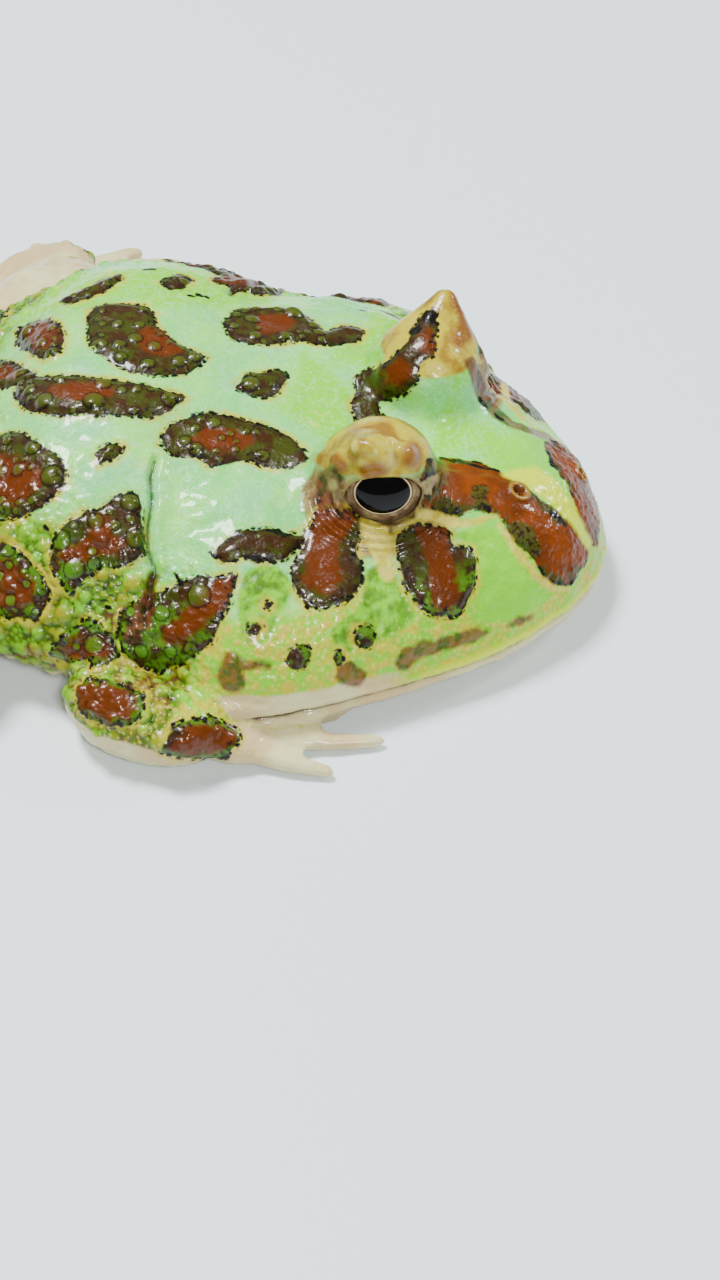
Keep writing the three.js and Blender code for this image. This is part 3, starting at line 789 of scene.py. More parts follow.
def line_distance(points: np.ndarray, line: np.ndarray, half_width: np.ndarray) -> np.ndarray:
    """Distance from points in space to a line of changing width.

    Args:
        points: The points.
        line: The line's corners.
        half_width: Half the line's width at each corner.

    Returns:
        The distances, below 0 inside the line.
    """
    nearest = np.full(len(points), FAR)
    for number in range(len(line) - 1):
        side = line[number + 1] - line[number]
        offset = points - line[number]
        share = np.clip(offset @ side / max(side @ side, 1e-12), 0, 1)
        width = half_width[number] + share * (half_width[number + 1] - half_width[number])
        nearest = np.minimum(nearest, lengths(offset - share[:, None] * side) - width)
    return nearest


@dataclass
class Painter:
    """Lays markings on the skin as distances to their edges, one layer for each paint."""

    sculpt: Sculpt
    surface: Surface
    normals: np.ndarray
    spot_corners: int = 20
    spot_depth_mm: float = 6.0

    def layer(self, paint: Paint) -> np.ndarray:
        """The paint's layer: millimetres to the nearest edge, below 0 inside."""
        return self.sculpt.layers.setdefault(paint.value, np.full(len(self.sculpt.points), FAR))

    def fill(self, paint: Paint, outline: np.ndarray, facing: np.ndarray, depth: float) -> None:
        """Paints a closed outline on the side of the skin that it faces.

        Args:
            paint: The layer to paint on.
            outline: The outline's corners in space.
            facing: The skin's mean normal under it.
            depth: How far from the outline's plane it still paints, in millimetres.
        """
        middle = outline.mean(0)
        reach = lengths(outline - middle).max() + 3
        near = np.flatnonzero(lengths(self.sculpt.points - middle) < reach)
        facing = facing / np.linalg.norm(facing)
        across = np.cross(facing, (0.3, 1.0, 0.2))
        across /= np.linalg.norm(across)
        plane = np.stack([across, np.cross(facing, across)], 1)
        offset = self.sculpt.points[near] - middle
        away = outline_distance(offset @ plane, (outline - middle) @ plane)
        turned = 4 * np.clip(0.25 - self.normals[near] @ facing, 0, None)
        sunk = np.clip(np.abs(offset @ facing) - depth, 0, None)
        layer = self.layer(paint)
        layer[near] = np.minimum(layer[near], away + turned + sunk)

    def outline(self, mark: Outline) -> None:
        """Paints a marking of the photo, on both sides of the frog if it says so."""
        places, normals = self.surface.land_all(rounded_loop(mark.points))
        self.fill(mark.paint, places, normals.mean(0), mark.depth_mm)
        if mark.both_sides:
            axes = self.surface.axes
            tips = axes.mirrored(places + normals)
            places = axes.mirrored(places)
            self.fill(mark.paint, places, (tips - places).mean(0), mark.depth_mm)

    def streak(self, mark: Streak) -> None:
        """Paints a line of the photo, on both sides of the frog if it says so."""
        places, _ = self.surface.land_all(mark.points)
        lines = [places, self.surface.axes.mirrored(places)] if mark.both_sides else [places]
        layer = self.layer(mark.paint)
        for line in lines:
            away = line_distance(self.sculpt.points, line, np.array(mark.half_width_mm))
            layer[:] = np.minimum(layer, away)

    def spot(self, mark: Spot) -> None:
        """Paints a marking that the photo doesn't show."""
        turn = math.radians(mark.turn_degrees)
        angles = np.linspace(0, 2 * math.pi, self.spot_corners, endpoint=False)
        wobble = 1 + 0.1 * np.sin(3 * angles + mark.half_long_mm)
        along, wide = mark.half_long_mm * wobble, mark.half_wide_mm * wobble
        ring = np.stack([along * np.cos(angles), wide * np.sin(angles), 0 * angles], 1)
        turned = ring @ np.array(
            [[math.cos(turn), math.sin(turn), 0], [-math.sin(turn), math.cos(turn), 0], [0, 0, 1]]
        )
        places = self.surface.axes.placed(turned + mark.centre_mm)
        landed = [self.surface.tree.find_nearest(place) for place in places]
        facing = np.array([hit[1] for hit in landed]).mean(0)
        self.fill(mark.paint, np.array([hit[0] for hit in landed]), facing, self.spot_depth_mm)

    def paint_all(self) -> None:
        """Paints every marking in order."""
        for mark in (*BLOTCHES, *CORES, *HEAD_MARKS, *FLECKS, *LIME_PATCHES):
            if isinstance(mark, Outline):
                self.outline(mark)
            else:
                self.streak(mark)
            log.debug("%s painted", mark.name)
        for mark in HIDDEN_MARKS:
            self.spot(mark)
            log.debug("%s painted", mark.name)


@dataclass(frozen=True)
class EyeForm:
    """The left eye on the straight frog, as the CAD part has it."""

    centre_mm: tuple[float, float, float] = (9.0, 22.0, 17.8)
    gaze: tuple[float, float, float] = (0.82, -0.3, 0.36)
    ball_mm: float = 5.12
    cornea_mm: float = 0.3
    open_wide_mm: float = 4.3
    open_high_mm: float = 2.9
    open_down_mm: float = 0.9

    def axes(self, side: int) -> tuple[np.ndarray, np.ndarray, np.ndarray]:
        """The directions that an eye looks in.

        Args:
            side: 1 for the left eye and -1 for the right one.

        Returns:
            Where it gazes, its forward side and its up.
        """
        gaze = np.array(self.gaze) * (side, 1, 1)
        gaze = gaze / np.linalg.norm(gaze)
        level = np.cross((0, 0, side), gaze)
        level = level / np.linalg.norm(level)
        up = np.cross(gaze, level) * side
        return gaze, level, up

    def centre(self, side: int, axes: FrogAxes) -> np.ndarray:
        """Middle of an eye in the row frame, in millimetres."""
        return axes.placed(np.array([self.centre_mm]) * (side, 1, 1))[0]


@dataclass
class Skin:
    """The frog's one skin: remeshed from the flesh solids, smoothed, painted and sculpted.

    A pair of numbers that ends in y or z is where a zone begins to show and where it shows in full.
    """

    axes: FrogAxes
    view: PhotoView
    eye: EyeForm = EyeForm()
    voxel_mm: float = 0.5
    swell_mm: float = 0.27
    shrink_mm: float = 0.2
    mouth_line: tuple[Pixel, ...] = (
        (-4, 3.6), (2, 3.5), (12, 3.3), (22, 3.7), (29, 4.1), (34, 3.4), (46, 2.6),
    )
    mouth_corner_y: float = 32.0
    head_ends_y: tuple[float, float] = (38.0, 32.0)
    snout_y: tuple[float, float] = (20.0, 6.0)
    flank_rises_y: tuple[float, float] = (40.0, 55.0)
    flank_rise_mm: float = 4.5
    flank_z: tuple[float, float] = (15.5, 9.5)
    cheek_z: tuple[float, float] = (14.5, 10.5)
    belly_z: tuple[float, float] = (2.8, 1.4)
    mouth_groove_mm: float = 0.5
    horn_tip_mm: float = 26.2
    lid_foot_mm: float = 21.3
    crease: tuple[Pixel, ...] = (
        (405, 600), (394, 640), (398, 700), (386, 770), (385, 830), (402, 882), (388, 950), (376, 1015),
    )
    near_nostril: Pixel = (1350, 678)
    far_nostril: Pixel = (1508, 633)
    lumps: tuple[tuple[Pixel, float], ...] = (
        ((878, 602), 1.7), ((925, 562), 1.1), ((978, 576), 0.5), ((1000, 604), 1.5), ((950, 612), 1.2),
        ((1060, 580), 1.8), ((1020, 548), 1.0),
    )
    lump_rise: float = 0.3
    domes: Granules = Granules("dome", 0.3, 1.1, 0.42, tries=620, seed=11, crowding=1.2, skew=1.8)
    knobs: Granules = Granules("knob", 0.55, 1.0, 0.62, tries=1500, seed=14, crowding=0.95, skew=1.2)
    pebbles: Granules = Granules("pebble", 0.26, 0.55, 0.5, tries=26000, seed=12, crowding=0.92, skew=1.6)
    grains: Granules = Granules("grain", 0.2, 0.34, 0.3, tries=16000, seed=13, crowding=1.0, skew=1.4)
    swells: tuple[tuple[float, float, int], ...] = ((0.17, 6.5, 31), (0.06, 2.6, 32), (0.035, 1.3, 33))
    rim_rounds: float = 4
    horn_rounds: float = 3
    fold_shade_width_mm: float = 0.36
    crease_deep_mm: float = 0.5
    crease_roll_mm: float = 0.25

    def flesh(self) -> list[str]:
        """The CAD nodes that the skin takes the place of."""
        return sorted(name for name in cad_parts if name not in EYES)

    def swollen(self) -> tuple[bpy.types.Mesh, BVHTree, list[str]]:
        """Copies the flesh solids into one mesh, each a little swollen so that they meet.

        Returns:
            The joined mesh, the bare solids as a tree, and the node of each triangle in it.
        """
        points, faces, bare, owners = [], [], [], []
        count = 0
        for name in self.flesh():
            work = bmesh.new()
            work.from_mesh(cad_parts[name].data)
            bmesh.ops.remove_doubles(work, verts=work.verts, dist=2e-6)
            bmesh.ops.triangulate(work, faces=work.faces)
            work.normal_update()
            points += [vert.co + vert.normal * self.swell_mm * MM for vert in work.verts]
            bare += [vert.co / MM for vert in work.verts]
            faces += [[vert.index + count for vert in face.verts] for face in work.faces]
            owners += [name] * len(work.faces)
            count += len(work.verts)
            work.free()
        mesh = bpy.data.meshes.new("flesh")
        mesh.from_pydata(points, [], faces)
        return mesh, BVHTree.FromPolygons(bare, faces), owners

    def apply_modifier(self, piece: bpy.types.Object) -> None:
        """Applies every modifier of a piece to its mesh."""
        solved = piece.evaluated_get(bpy.context.evaluated_depsgraph_get())
        mesh = bpy.data.meshes.new_from_object(solved)
        piece.modifiers.clear()
        piece.data = mesh

    def remeshed(self) -> tuple[bpy.types.Object, BVHTree, list[str]]:
        """Joins the flesh into one closed mesh of even quads.

        Returns:
            The piece, the bare solids as a tree, and the node of each triangle in it.
        """
        mesh, tree, owners = self.swollen()
        piece = bpy.data.objects.new("frog_skin", mesh)
        bpy.context.scene.collection.objects.link(piece)
        remesh = piece.modifiers.new("join", "REMESH")
        remesh.mode = "VOXEL"
        remesh.voxel_size = self.voxel_mm * MM
        self.apply_modifier(piece)
        return piece, tree, owners

    def regional(self, sculpt: Sculpt, tree: BVHTree, owners: list[str]) -> None:
        """Gives the skin a soft layer for each region and smooths away the solids' facets."""
        found = np.array([tree.find_nearest(point)[2] for point in sculpt.points])
        kinds = list(Region)
        numbers = np.array([kinds.index(Region.of(owner)) for owner in owners])[found]
        rounds = np.array([kind.value for kind in kinds], float)[numbers]
        front = [owner in ("head", "lower_jaw") or owner.startswith("eyelid") for owner in owners]
        sculpt.layers["face"] = sculpt.spread(np.array(front, float)[found], 4)
        for name, kind in (("digit", Region.DIGIT), ("hand", Region.HAND), ("limb", Region.LIMB)):
            own = (numbers == kinds.index(kind)).astype(float)
            sculpt.layers[name] = sculpt.spread(own, 5)
        own = (numbers == kinds.index(Region.LID)).astype(float)
        sculpt.layers["lid"] = sculpt.spread(own, 3)
        for side in (1, -1):
            rim, _, ahead = self.around_eye(sculpt.points, side)
            held = smoothstep(3.0, 0.5, np.abs(rim)) * (ahead > 0)
            rounds = rounds * (1 - held) + self.rim_rounds * held
        horn = smoothstep(self.horn_tip_mm - 4, self.horn_tip_mm - 1.5, sculpt.points[:, 2])
        rounds = rounds * (1 - horn) + self.horn_rounds * horn
        sculpt.relax(sculpt.spread(rounds, 6))
        sculpt.points -= self.shrink_mm * sculpt.normals()

    def around_eye(self, points: np.ndarray, side: int) -> tuple[np.ndarray, np.ndarray, np.ndarray]:
        """Where points lie around an eye's opening.

        Args:
            points: Points in the row frame, in millimetres.
            side: 1 for the left eye and -1 for the right one.

        Returns:
            Millimetres outside the rim of the opening, how high on it from -1 to 1, and how far
            ahead of the middle of the eye.
        """
        gaze, level, up = self.eye.axes(side)
        offset = points - self.eye.centre(side, self.axes)
        wide = offset @ level / self.eye.open_wide_mm
        high = (offset @ up + self.eye.open_down_mm) / self.eye.open_high_mm
        out = np.hypot(wide, high)
        mean = 0.5 * (self.eye.open_wide_mm + self.eye.open_high_mm)
        return (out - 1) * mean, high / np.maximum(out, 1e-6), offset @ gaze

    def zones(self, sculpt: Sculpt, normals: np.ndarray) -> None:
        """Marks the broad zones of colour: flank, pale underside, jaw and the rim of the lip."""
        straight = self.axes.straight(sculpt.points)
        x, y, z = straight.T
        head = smoothstep(*self.head_ends_y, y)
        raised = self.flank_rise_mm * smoothstep(*self.flank_rises_y, y)
        sculpt.layers["flank"] = smoothstep(*self.flank_z, z - raised) * (1 - head)
        sculpt.layers["cheek"] = smoothstep(*self.cheek_z, z) * head
        lip = z - self.mouth_height(y)
        jaw = smoothstep(0.25, -0.25, lip) * smoothstep(self.mouth_corner_y + 7, self.mouth_corner_y, y)
        lip_band = smoothstep(3.4, 1.6, lip) * smoothstep(10, 20, y) * (y < self.mouth_corner_y + 6)
        under = smoothstep(-0.25, -0.75, normals[:, 2])
        digits = np.clip(sculpt.layers["digit"] + sculpt.layers["hand"], 0, 1)
        low = smoothstep(*self.belly_z, z)
        face = sculpt.layers["face"]
        limb = smoothstep(0.1, 0.5, sculpt.layers["limb"])
        inner = limb * smoothstep(-0.75, -0.35, -np.sign(x) * normals[:, 0]) * smoothstep(48, 58, y)
        sculpt.layers["inner"] = inner
        under_limb = limb * smoothstep(0.4, 0.0, normals[:, 2])
        sculpt.layers["pale"] = np.maximum.reduce(
            [face * jaw, face * lip_band, under, digits, low, inner, under_limb]
        )
        sculpt.layers["lip"] = np.where((y < self.mouth_corner_y + 3) & (face > 0.5), lip, FAR)
        sculpt.layers["front"] = smoothstep(*self.snout_y, y)
        high = smoothstep(self.lid_foot_mm - 0.7, self.lid_foot_mm + 0.7, z)
        sculpt.layers["lid"] *= np.maximum(high, smoothstep(9.5, 11.5, np.abs(x)))

    def mouth_height(self, y: np.ndarray) -> np.ndarray:
        """Height of the line of the mouth at each distance from the snout."""
        knots = np.array(self.mouth_line)
        return np.interp(y, knots[:, 0], knots[:, 1])

    def mouth(self, sculpt: Sculpt) -> np.ndarray:
        """The groove between the lips, with painted shade along it.

        Args:
            sculpt: The skin.

        Returns:
            How far each point rises, in millimetres.
        """
        straight = self.axes.straight(sculpt.points)
        lip = straight[:, 2] - self.mouth_height(straight[:, 1])
        length = smoothstep(self.mouth_corner_y + 2, self.mouth_corner_y - 3, straight[:, 1])
        length *= smoothstep(0.5, 0.9, sculpt.layers["face"])
        # painted shade along the groove of the mouth
        dark = np.exp(-((lip / 0.24) ** 2)) * length
        self.darken(sculpt, dark)
        rolls = 0.22 * np.exp(-(((lip - 1.0) / 0.55) ** 2)) + 0.16 * np.exp(-(((lip + 0.9) / 0.5) ** 2))
        return length * rolls - self.mouth_groove_mm * dark

    def darken(self, sculpt: Sculpt, amount: np.ndarray) -> None:
        """Adds painted shade to the layer that darkens the skin where it folds into shadow."""
        layer = sculpt.layers.setdefault("fold_shade", np.zeros(len(sculpt.points)))
        layer[:] = np.maximum(layer, amount)

    def neck_crease(self, sculpt: Sculpt, surface: Surface) -> np.ndarray:
        """The crease behind the jaw, on both sides, with painted shade along it.

        Args:
            sculpt: The skin.
            surface: The smoothed skin.

        Returns:
            How far each point rises, in millimetres.
        """
        places, _ = surface.land_all(self.crease)
        width = np.zeros(len(places))
        rise = np.zeros(len(sculpt.points))
        for line in (places, self.axes.mirrored(places)):
            away = line_distance(sculpt.points, line, width)
            # painted shade along the crease
            self.darken(sculpt, 0.85 * np.exp(-((away / self.fold_shade_width_mm) ** 2)))
            roll = self.crease_roll_mm * np.exp(-(((away - 0.9) / 0.6) ** 2))
            rise += roll - self.crease_deep_mm * np.exp(-((away / 0.4) ** 2))
        return rise

    def nostrils(self, sculpt: Sculpt, surface: Surface) -> np.ndarray:
        """Two nostrils, each a pit with painted shade in it and a raised pale rim.

        Args:
            sculpt: The skin.
            surface: The smoothed skin.

        Returns:
            How far each point rises, in millimetres.
        """
        rise = np.zeros(len(sculpt.points))
        rim = np.zeros(len(sculpt.points))
        for place, _ in map(surface.land, (self.near_nostril, self.far_nostril)):
            away = lengths(sculpt.points - place)
            # painted shade in the nostril's pit
            self.darken(sculpt, np.exp(-((away / 0.42) ** 4)))
            ring = np.exp(-(((away - 1.0) / 0.32) ** 2))
            rise += 0.3 * ring - 0.9 * np.exp(-((away / 0.5) ** 2))
            rim = np.maximum(rim, ring)
        sculpt.layers["rim"] = rim
        return rise

    def lids(self, sculpt: Sculpt, surface: Surface) -> np.ndarray:
        """Folds under each eye with painted shade in their grooves, a raised rim round it, and lumps on
        the near upper lid.

        Args:
            sculpt: The skin.
            surface: The smoothed skin.

        Returns:
            How far each point rises, in millimetres.
        """
        rise = np.zeros(len(sculpt.points))
        folds = np.zeros(len(sculpt.points))
        socket = np.zeros(len(sculpt.points))
        for side in (1, -1):
            rim, high, ahead = self.around_eye(sculpt.points, side)
            facing = smoothstep(0.0, 2.0, ahead)
            lower = smoothstep(0.35, -0.2, high) * facing * smoothstep(4.6, 0.8, rim)
            lower *= smoothstep(-0.4, 0.1, rim)
            wave = np.sin(rim * 2 * math.pi / 0.95)
            rise += 0.2 * wave * lower
            # painted shade in the grooves between the folds under the eye
            folds = np.maximum(folds, lower * (0.5 - 0.5 * wave))
            edge = np.exp(-(((rim - 0.35) / 0.4) ** 2)) * facing
            rise += 0.25 * edge
            socket = np.maximum(socket, facing * smoothstep(4.2, 2.4, rim))
        lumps = np.zeros(len(sculpt.points))
        for mark, size in self.lumps:
            place, _ = surface.land(mark)
            away = lengths(sculpt.points - place)
            lump = np.clip(1 - (away / size) ** 2, 0, None) ** 1.5
            lumps = np.maximum(lumps, lump)
            rise += self.lump_rise * size * lump
        sculpt.layers["lump"] = lumps
        sculpt.layers["lid_fold_shade"] = folds
        sculpt.layers["socket"] = socket
        return rise

    def ripples(self, sculpt: Sculpt, size_mm: float, seed: int, waves: int = 26) -> np.ndarray:
        """Soft uneven skin, as a sum of waves in random directions.

        Args:
            sculpt: The skin.
            size_mm: The length of a wave.
            seed: Picks the directions.
            waves: How many waves are added up.

        Returns:
            A value around 0 for each point, seldom beyond 1.
        """
        random = np.random.default_rng(seed)
        total = np.zeros(len(sculpt.points))
        for _ in range(waves):
            direction = random.normal(size=3)
            direction *= 2 * math.pi / (size_mm * random.uniform(0.75, 1.35) * np.linalg.norm(direction))
            total += np.sin(sculpt.points @ direction + random.uniform(0, 2 * math.pi))
        return total / math.sqrt(waves / 2) / 2

    def bumps(self, sculpt: Sculpt) -> np.ndarray:
        """Scatters the granules of the flanks and the glassy domes of the blotches.

        Args:
            sculpt: The skin.

        Returns:
            How far each point rises, in millimetres.
        """
        tree = KDTree(len(sculpt.points))
        for index, point in enumerate(sculpt.points):
            tree.insert(point, index)
        tree.balance()
        layers = sculpt.layers
        smooth_parts = np.clip(layers["digit"] + layers["hand"] + layers["lid"], 0, 1)
        bare = (1 - layers["pale"]) * (1 - smooth_parts)
        blotch = layers[Paint.BLOTCH.value]
        margin = smoothstep(-0.2, -0.6, blotch) * (0.16 + 0.84 * smoothstep(-2.4, -1.2, blotch))
        y = self.axes.straight(sculpt.points)[:, 1]
        on_body = (1 - smooth_parts) * smoothstep(0.3, 0.0, layers["limb"]) * smoothstep(33, 38, y)
        rise = self.domes.raise_on(sculpt, tree, margin * on_body * (1 - 0.85 * layers["cheek"]) + 1e-9)
        shoulder = layers["flank"] ** 2 * bare * smoothstep(30, 40, y) * smoothstep(85, 60, y)
        rise = np.maximum(rise, self.knobs.raise_on(sculpt, tree, shoulder * (1 - layers["dome"]) + 1e-9))
        taken = smoothstep(0.02, 0.3, np.maximum(layers["dome"], layers["knob"]))
        forearm = smoothstep(0.2, 0.6, layers["limb"]) * smoothstep(52, 44, y)
        flank = np.maximum(layers["flank"], 0.6 * layers["limb"]) * bare * (1 - taken)
        flank *= 1 - 0.93 * forearm
        flank *= 0.35 + 0.65 * smoothstep(-0.2, 0.5, blotch)
        rise = np.maximum(rise, self.pebbles.raise_on(sculpt, tree, flank + 1e-9))
        cheek = layers["cheek"] * bare * smoothstep(-0.4, 0.3, layers[Paint.LIME.value]) + 1e-9
        cheek += 0.8 * forearm * smoothstep(0.4, 0.6, layers["limb"])
        rise = np.maximum(rise, self.grains.raise_on(sculpt, tree, cheek))
        return rise + self.uneven(sculpt, smooth_parts)

    def uneven(self, sculpt: Sculpt, smooth_parts: np.ndarray) -> np.ndarray:
        """The soft unevenness of the whole skin, less on lids and digits, in millimetres."""
        swell = sum(rise * self.ripples(sculpt, size, seed) for rise, size, seed in self.swells)
        return swell * (1 - 0.6 * smooth_parts)

    def build(self) -> bpy.types.Object:
        """Makes the whole skin.

        Returns:
            The finished piece.
        """
        piece, tree, owners = self.remeshed()
        coarse = Sculpt.from_mesh(piece.data)
        log.info("skin joined: %d points", len(coarse.points))
        self.regional(coarse, tree, owners)
        coarse.write(piece.data)
        surface = Surface(
            BVHTree.FromPolygons(coarse.points.tolist(), coarse.faces.tolist()), self.view, self.axes
        )
        finer = piece.modifiers.new("finer", "SUBSURF")
        finer.levels = 1
        self.apply_modifier(piece)
        sculpt = Sculpt.from_mesh(piece.data)
        normals = sculpt.normals()
        self.zones(sculpt, normals)
        Painter(sculpt, surface, normals).paint_all()
        log.info("markings painted")
        rise = self.mouth(sculpt) + self.neck_crease(sculpt, surface)
        rise += self.nostrils(sculpt, surface) + self.lids(sculpt, surface)
        rise += 0.3 * smoothstep(0.1, -1.0, sculpt.layers[Paint.BLOTCH.value])
        rise += self.bumps(sculpt)
        sculpt.points += rise[:, None] * normals
        sculpt.points[:, 2] = np.maximum(sculpt.points[:, 2], 0.0)
        sculpt.write(piece.data)
        piece.data.polygons.foreach_set("use_smooth", np.ones(len(piece.data.polygons), bool))
        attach(piece, "root")
        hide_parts(*self.flesh())
        log.info("skin sculpted: %d points", len(sculpt.points))
        return piece


@dataclass
class Graph:
    """Adds shader nodes to a material in few words. Sizes are in millimetres."""

    material: bpy.types.Material

    def __post_init__(self) -> None:
        """Clears the material and puts a Principled shader in it."""
        self.material.use_nodes = True
        self.nodes = self.material.node_tree.nodes
        self.links = self.material.node_tree.links
        self.nodes.clear()
        self.output = self.nodes.new("ShaderNodeOutputMaterial")
        self.shader = self.nodes.new("ShaderNodeBsdfPrincipled")
        self.links.new(self.shader.outputs["BSDF"], self.output.inputs["Surface"])
        self.place = self.nodes.new("ShaderNodeTexCoord").outputs["Object"]

    def feed(self, socket: bpy.types.NodeSocket, value: object) -> None:
        """Links a socket to another one, or sets it to a plain value."""
        if isinstance(value, bpy.types.NodeSocket):
            self.links.new(value, socket)
        else:
            socket.default_value = value

    def layer(self, name: str) -> bpy.types.NodeSocket:
        """The value of one of the mesh's layers."""
        node = self.nodes.new("ShaderNodeAttribute")
        node.attribute_name = name
        return node.outputs["Fac"]

    def math(self, operation: str, first: object, second: object = 0.0) -> bpy.types.NodeSocket:
        """One step of arithmetic.

        Args:
            operation: The Math node's operation.
            first: A socket or a number.
            second: A socket or a number.

        Returns:
            The result's socket.
        """
        node = self.nodes.new("ShaderNodeMath")
        node.operation = operation
        self.feed(node.inputs[0], first)
        self.feed(node.inputs[1], second)
        return node.outputs[0]

    def times(self, first: object, second: object) -> bpy.types.NodeSocket:
        """The product of two sockets or numbers."""
        return self.math("MULTIPLY", first, second)

    def step(self, value: object, low: float, high: float) -> bpy.types.NodeSocket:
        """Rises smoothly from 0 at low to 1 at high; low may be the larger of the two.

        Args:
            value: A socket.
            low: Where the result is 0.
            high: Where the result is 1.

        Returns:
            The result's socket.
        """
        node = self.nodes.new("ShaderNodeMapRange")
        node.interpolation_type = "SMOOTHSTEP"
        rising = low < high
        self.feed(node.inputs["Value"], value)
        node.inputs["From Min"].default_value = min(low, high)
        node.inputs["From Max"].default_value = max(low, high)
        node.inputs["To Min"].default_value = 0.0 if rising else 1.0
        node.inputs["To Max"].default_value = 1.0 if rising else 0.0
        return node.outputs["Result"]

    def mix(self, share: object, first: object, second: object) -> bpy.types.NodeSocket:
        """A colour between two.

        Args:
            share: How much of the second colour, a socket or a number.
            first: A colour or its socket.
            second: A colour or its socket.

        Returns:
            The mixed colour's socket.
        """
        node = self.nodes.new("ShaderNodeMix")
        node.data_type = "RGBA"
        self.feed(node.inputs[0], share)
        self.feed(node.inputs[6], first)
        self.feed(node.inputs[7], second)
        return node.outputs[2]

    def noise(self, size_mm: float, detail: float = 2.0, shift: float = 0.0) -> bpy.types.NodeSocket:
        """Cloudy noise around one half.

        Args:
            size_mm: The size of its features.
            detail: How many finer layers it has.
            shift: Picks another piece of the noise.

        Returns:
            The noise's socket.
        """
        node = self.nodes.new("ShaderNodeTexNoise")
        node.noise_dimensions = "4D"
        self.links.new(self.place, node.inputs["Vector"])
        node.inputs["W"].default_value = shift
        node.inputs["Scale"].default_value = 1 / (size_mm * MM)
        node.inputs["Detail"].default_value = detail
        return node.outputs["Fac"]

    def cells(self, size_mm: float) -> bpy.types.NodeSocket:
        """Distance to the nearest middle in a pattern of cells.

        Args:
            size_mm: The size of a cell.

        Returns:
            The distance's socket.
        """
        node = self.nodes.new("ShaderNodeTexVoronoi")
        self.links.new(self.place, node.inputs["Vector"])
        node.inputs["Scale"].default_value = 1 / (size_mm * MM)
        return node.outputs["Distance"]

    def roughen(self, value: object, noise: object, amount: float) -> bpy.types.NodeSocket:
        """Moves a value up and down by noise, by at most half the amount each way."""
        swing = self.times(self.math("SUBTRACT", noise, 0.5), amount)
        return self.math("ADD", value, swing)

    def bump(self, height: object, depth_mm: float) -> None:
        """Gives the shader fine relief of a given depth."""
        node = self.nodes.new("ShaderNodeBump")
        node.inputs["Strength"].default_value = 1.0
        node.inputs["Distance"].default_value = depth_mm * MM
        self.feed(node.inputs["Height"], height)
        self.links.new(node.outputs["Normal"], self.shader.inputs["Normal"])

    def set(self, **values: float) -> None:
        """Sets the shader's own sockets; an underline in a name stands for a space."""
        for name, value in values.items():
            self.shader.inputs[name.replace("_", " ")].default_value = value


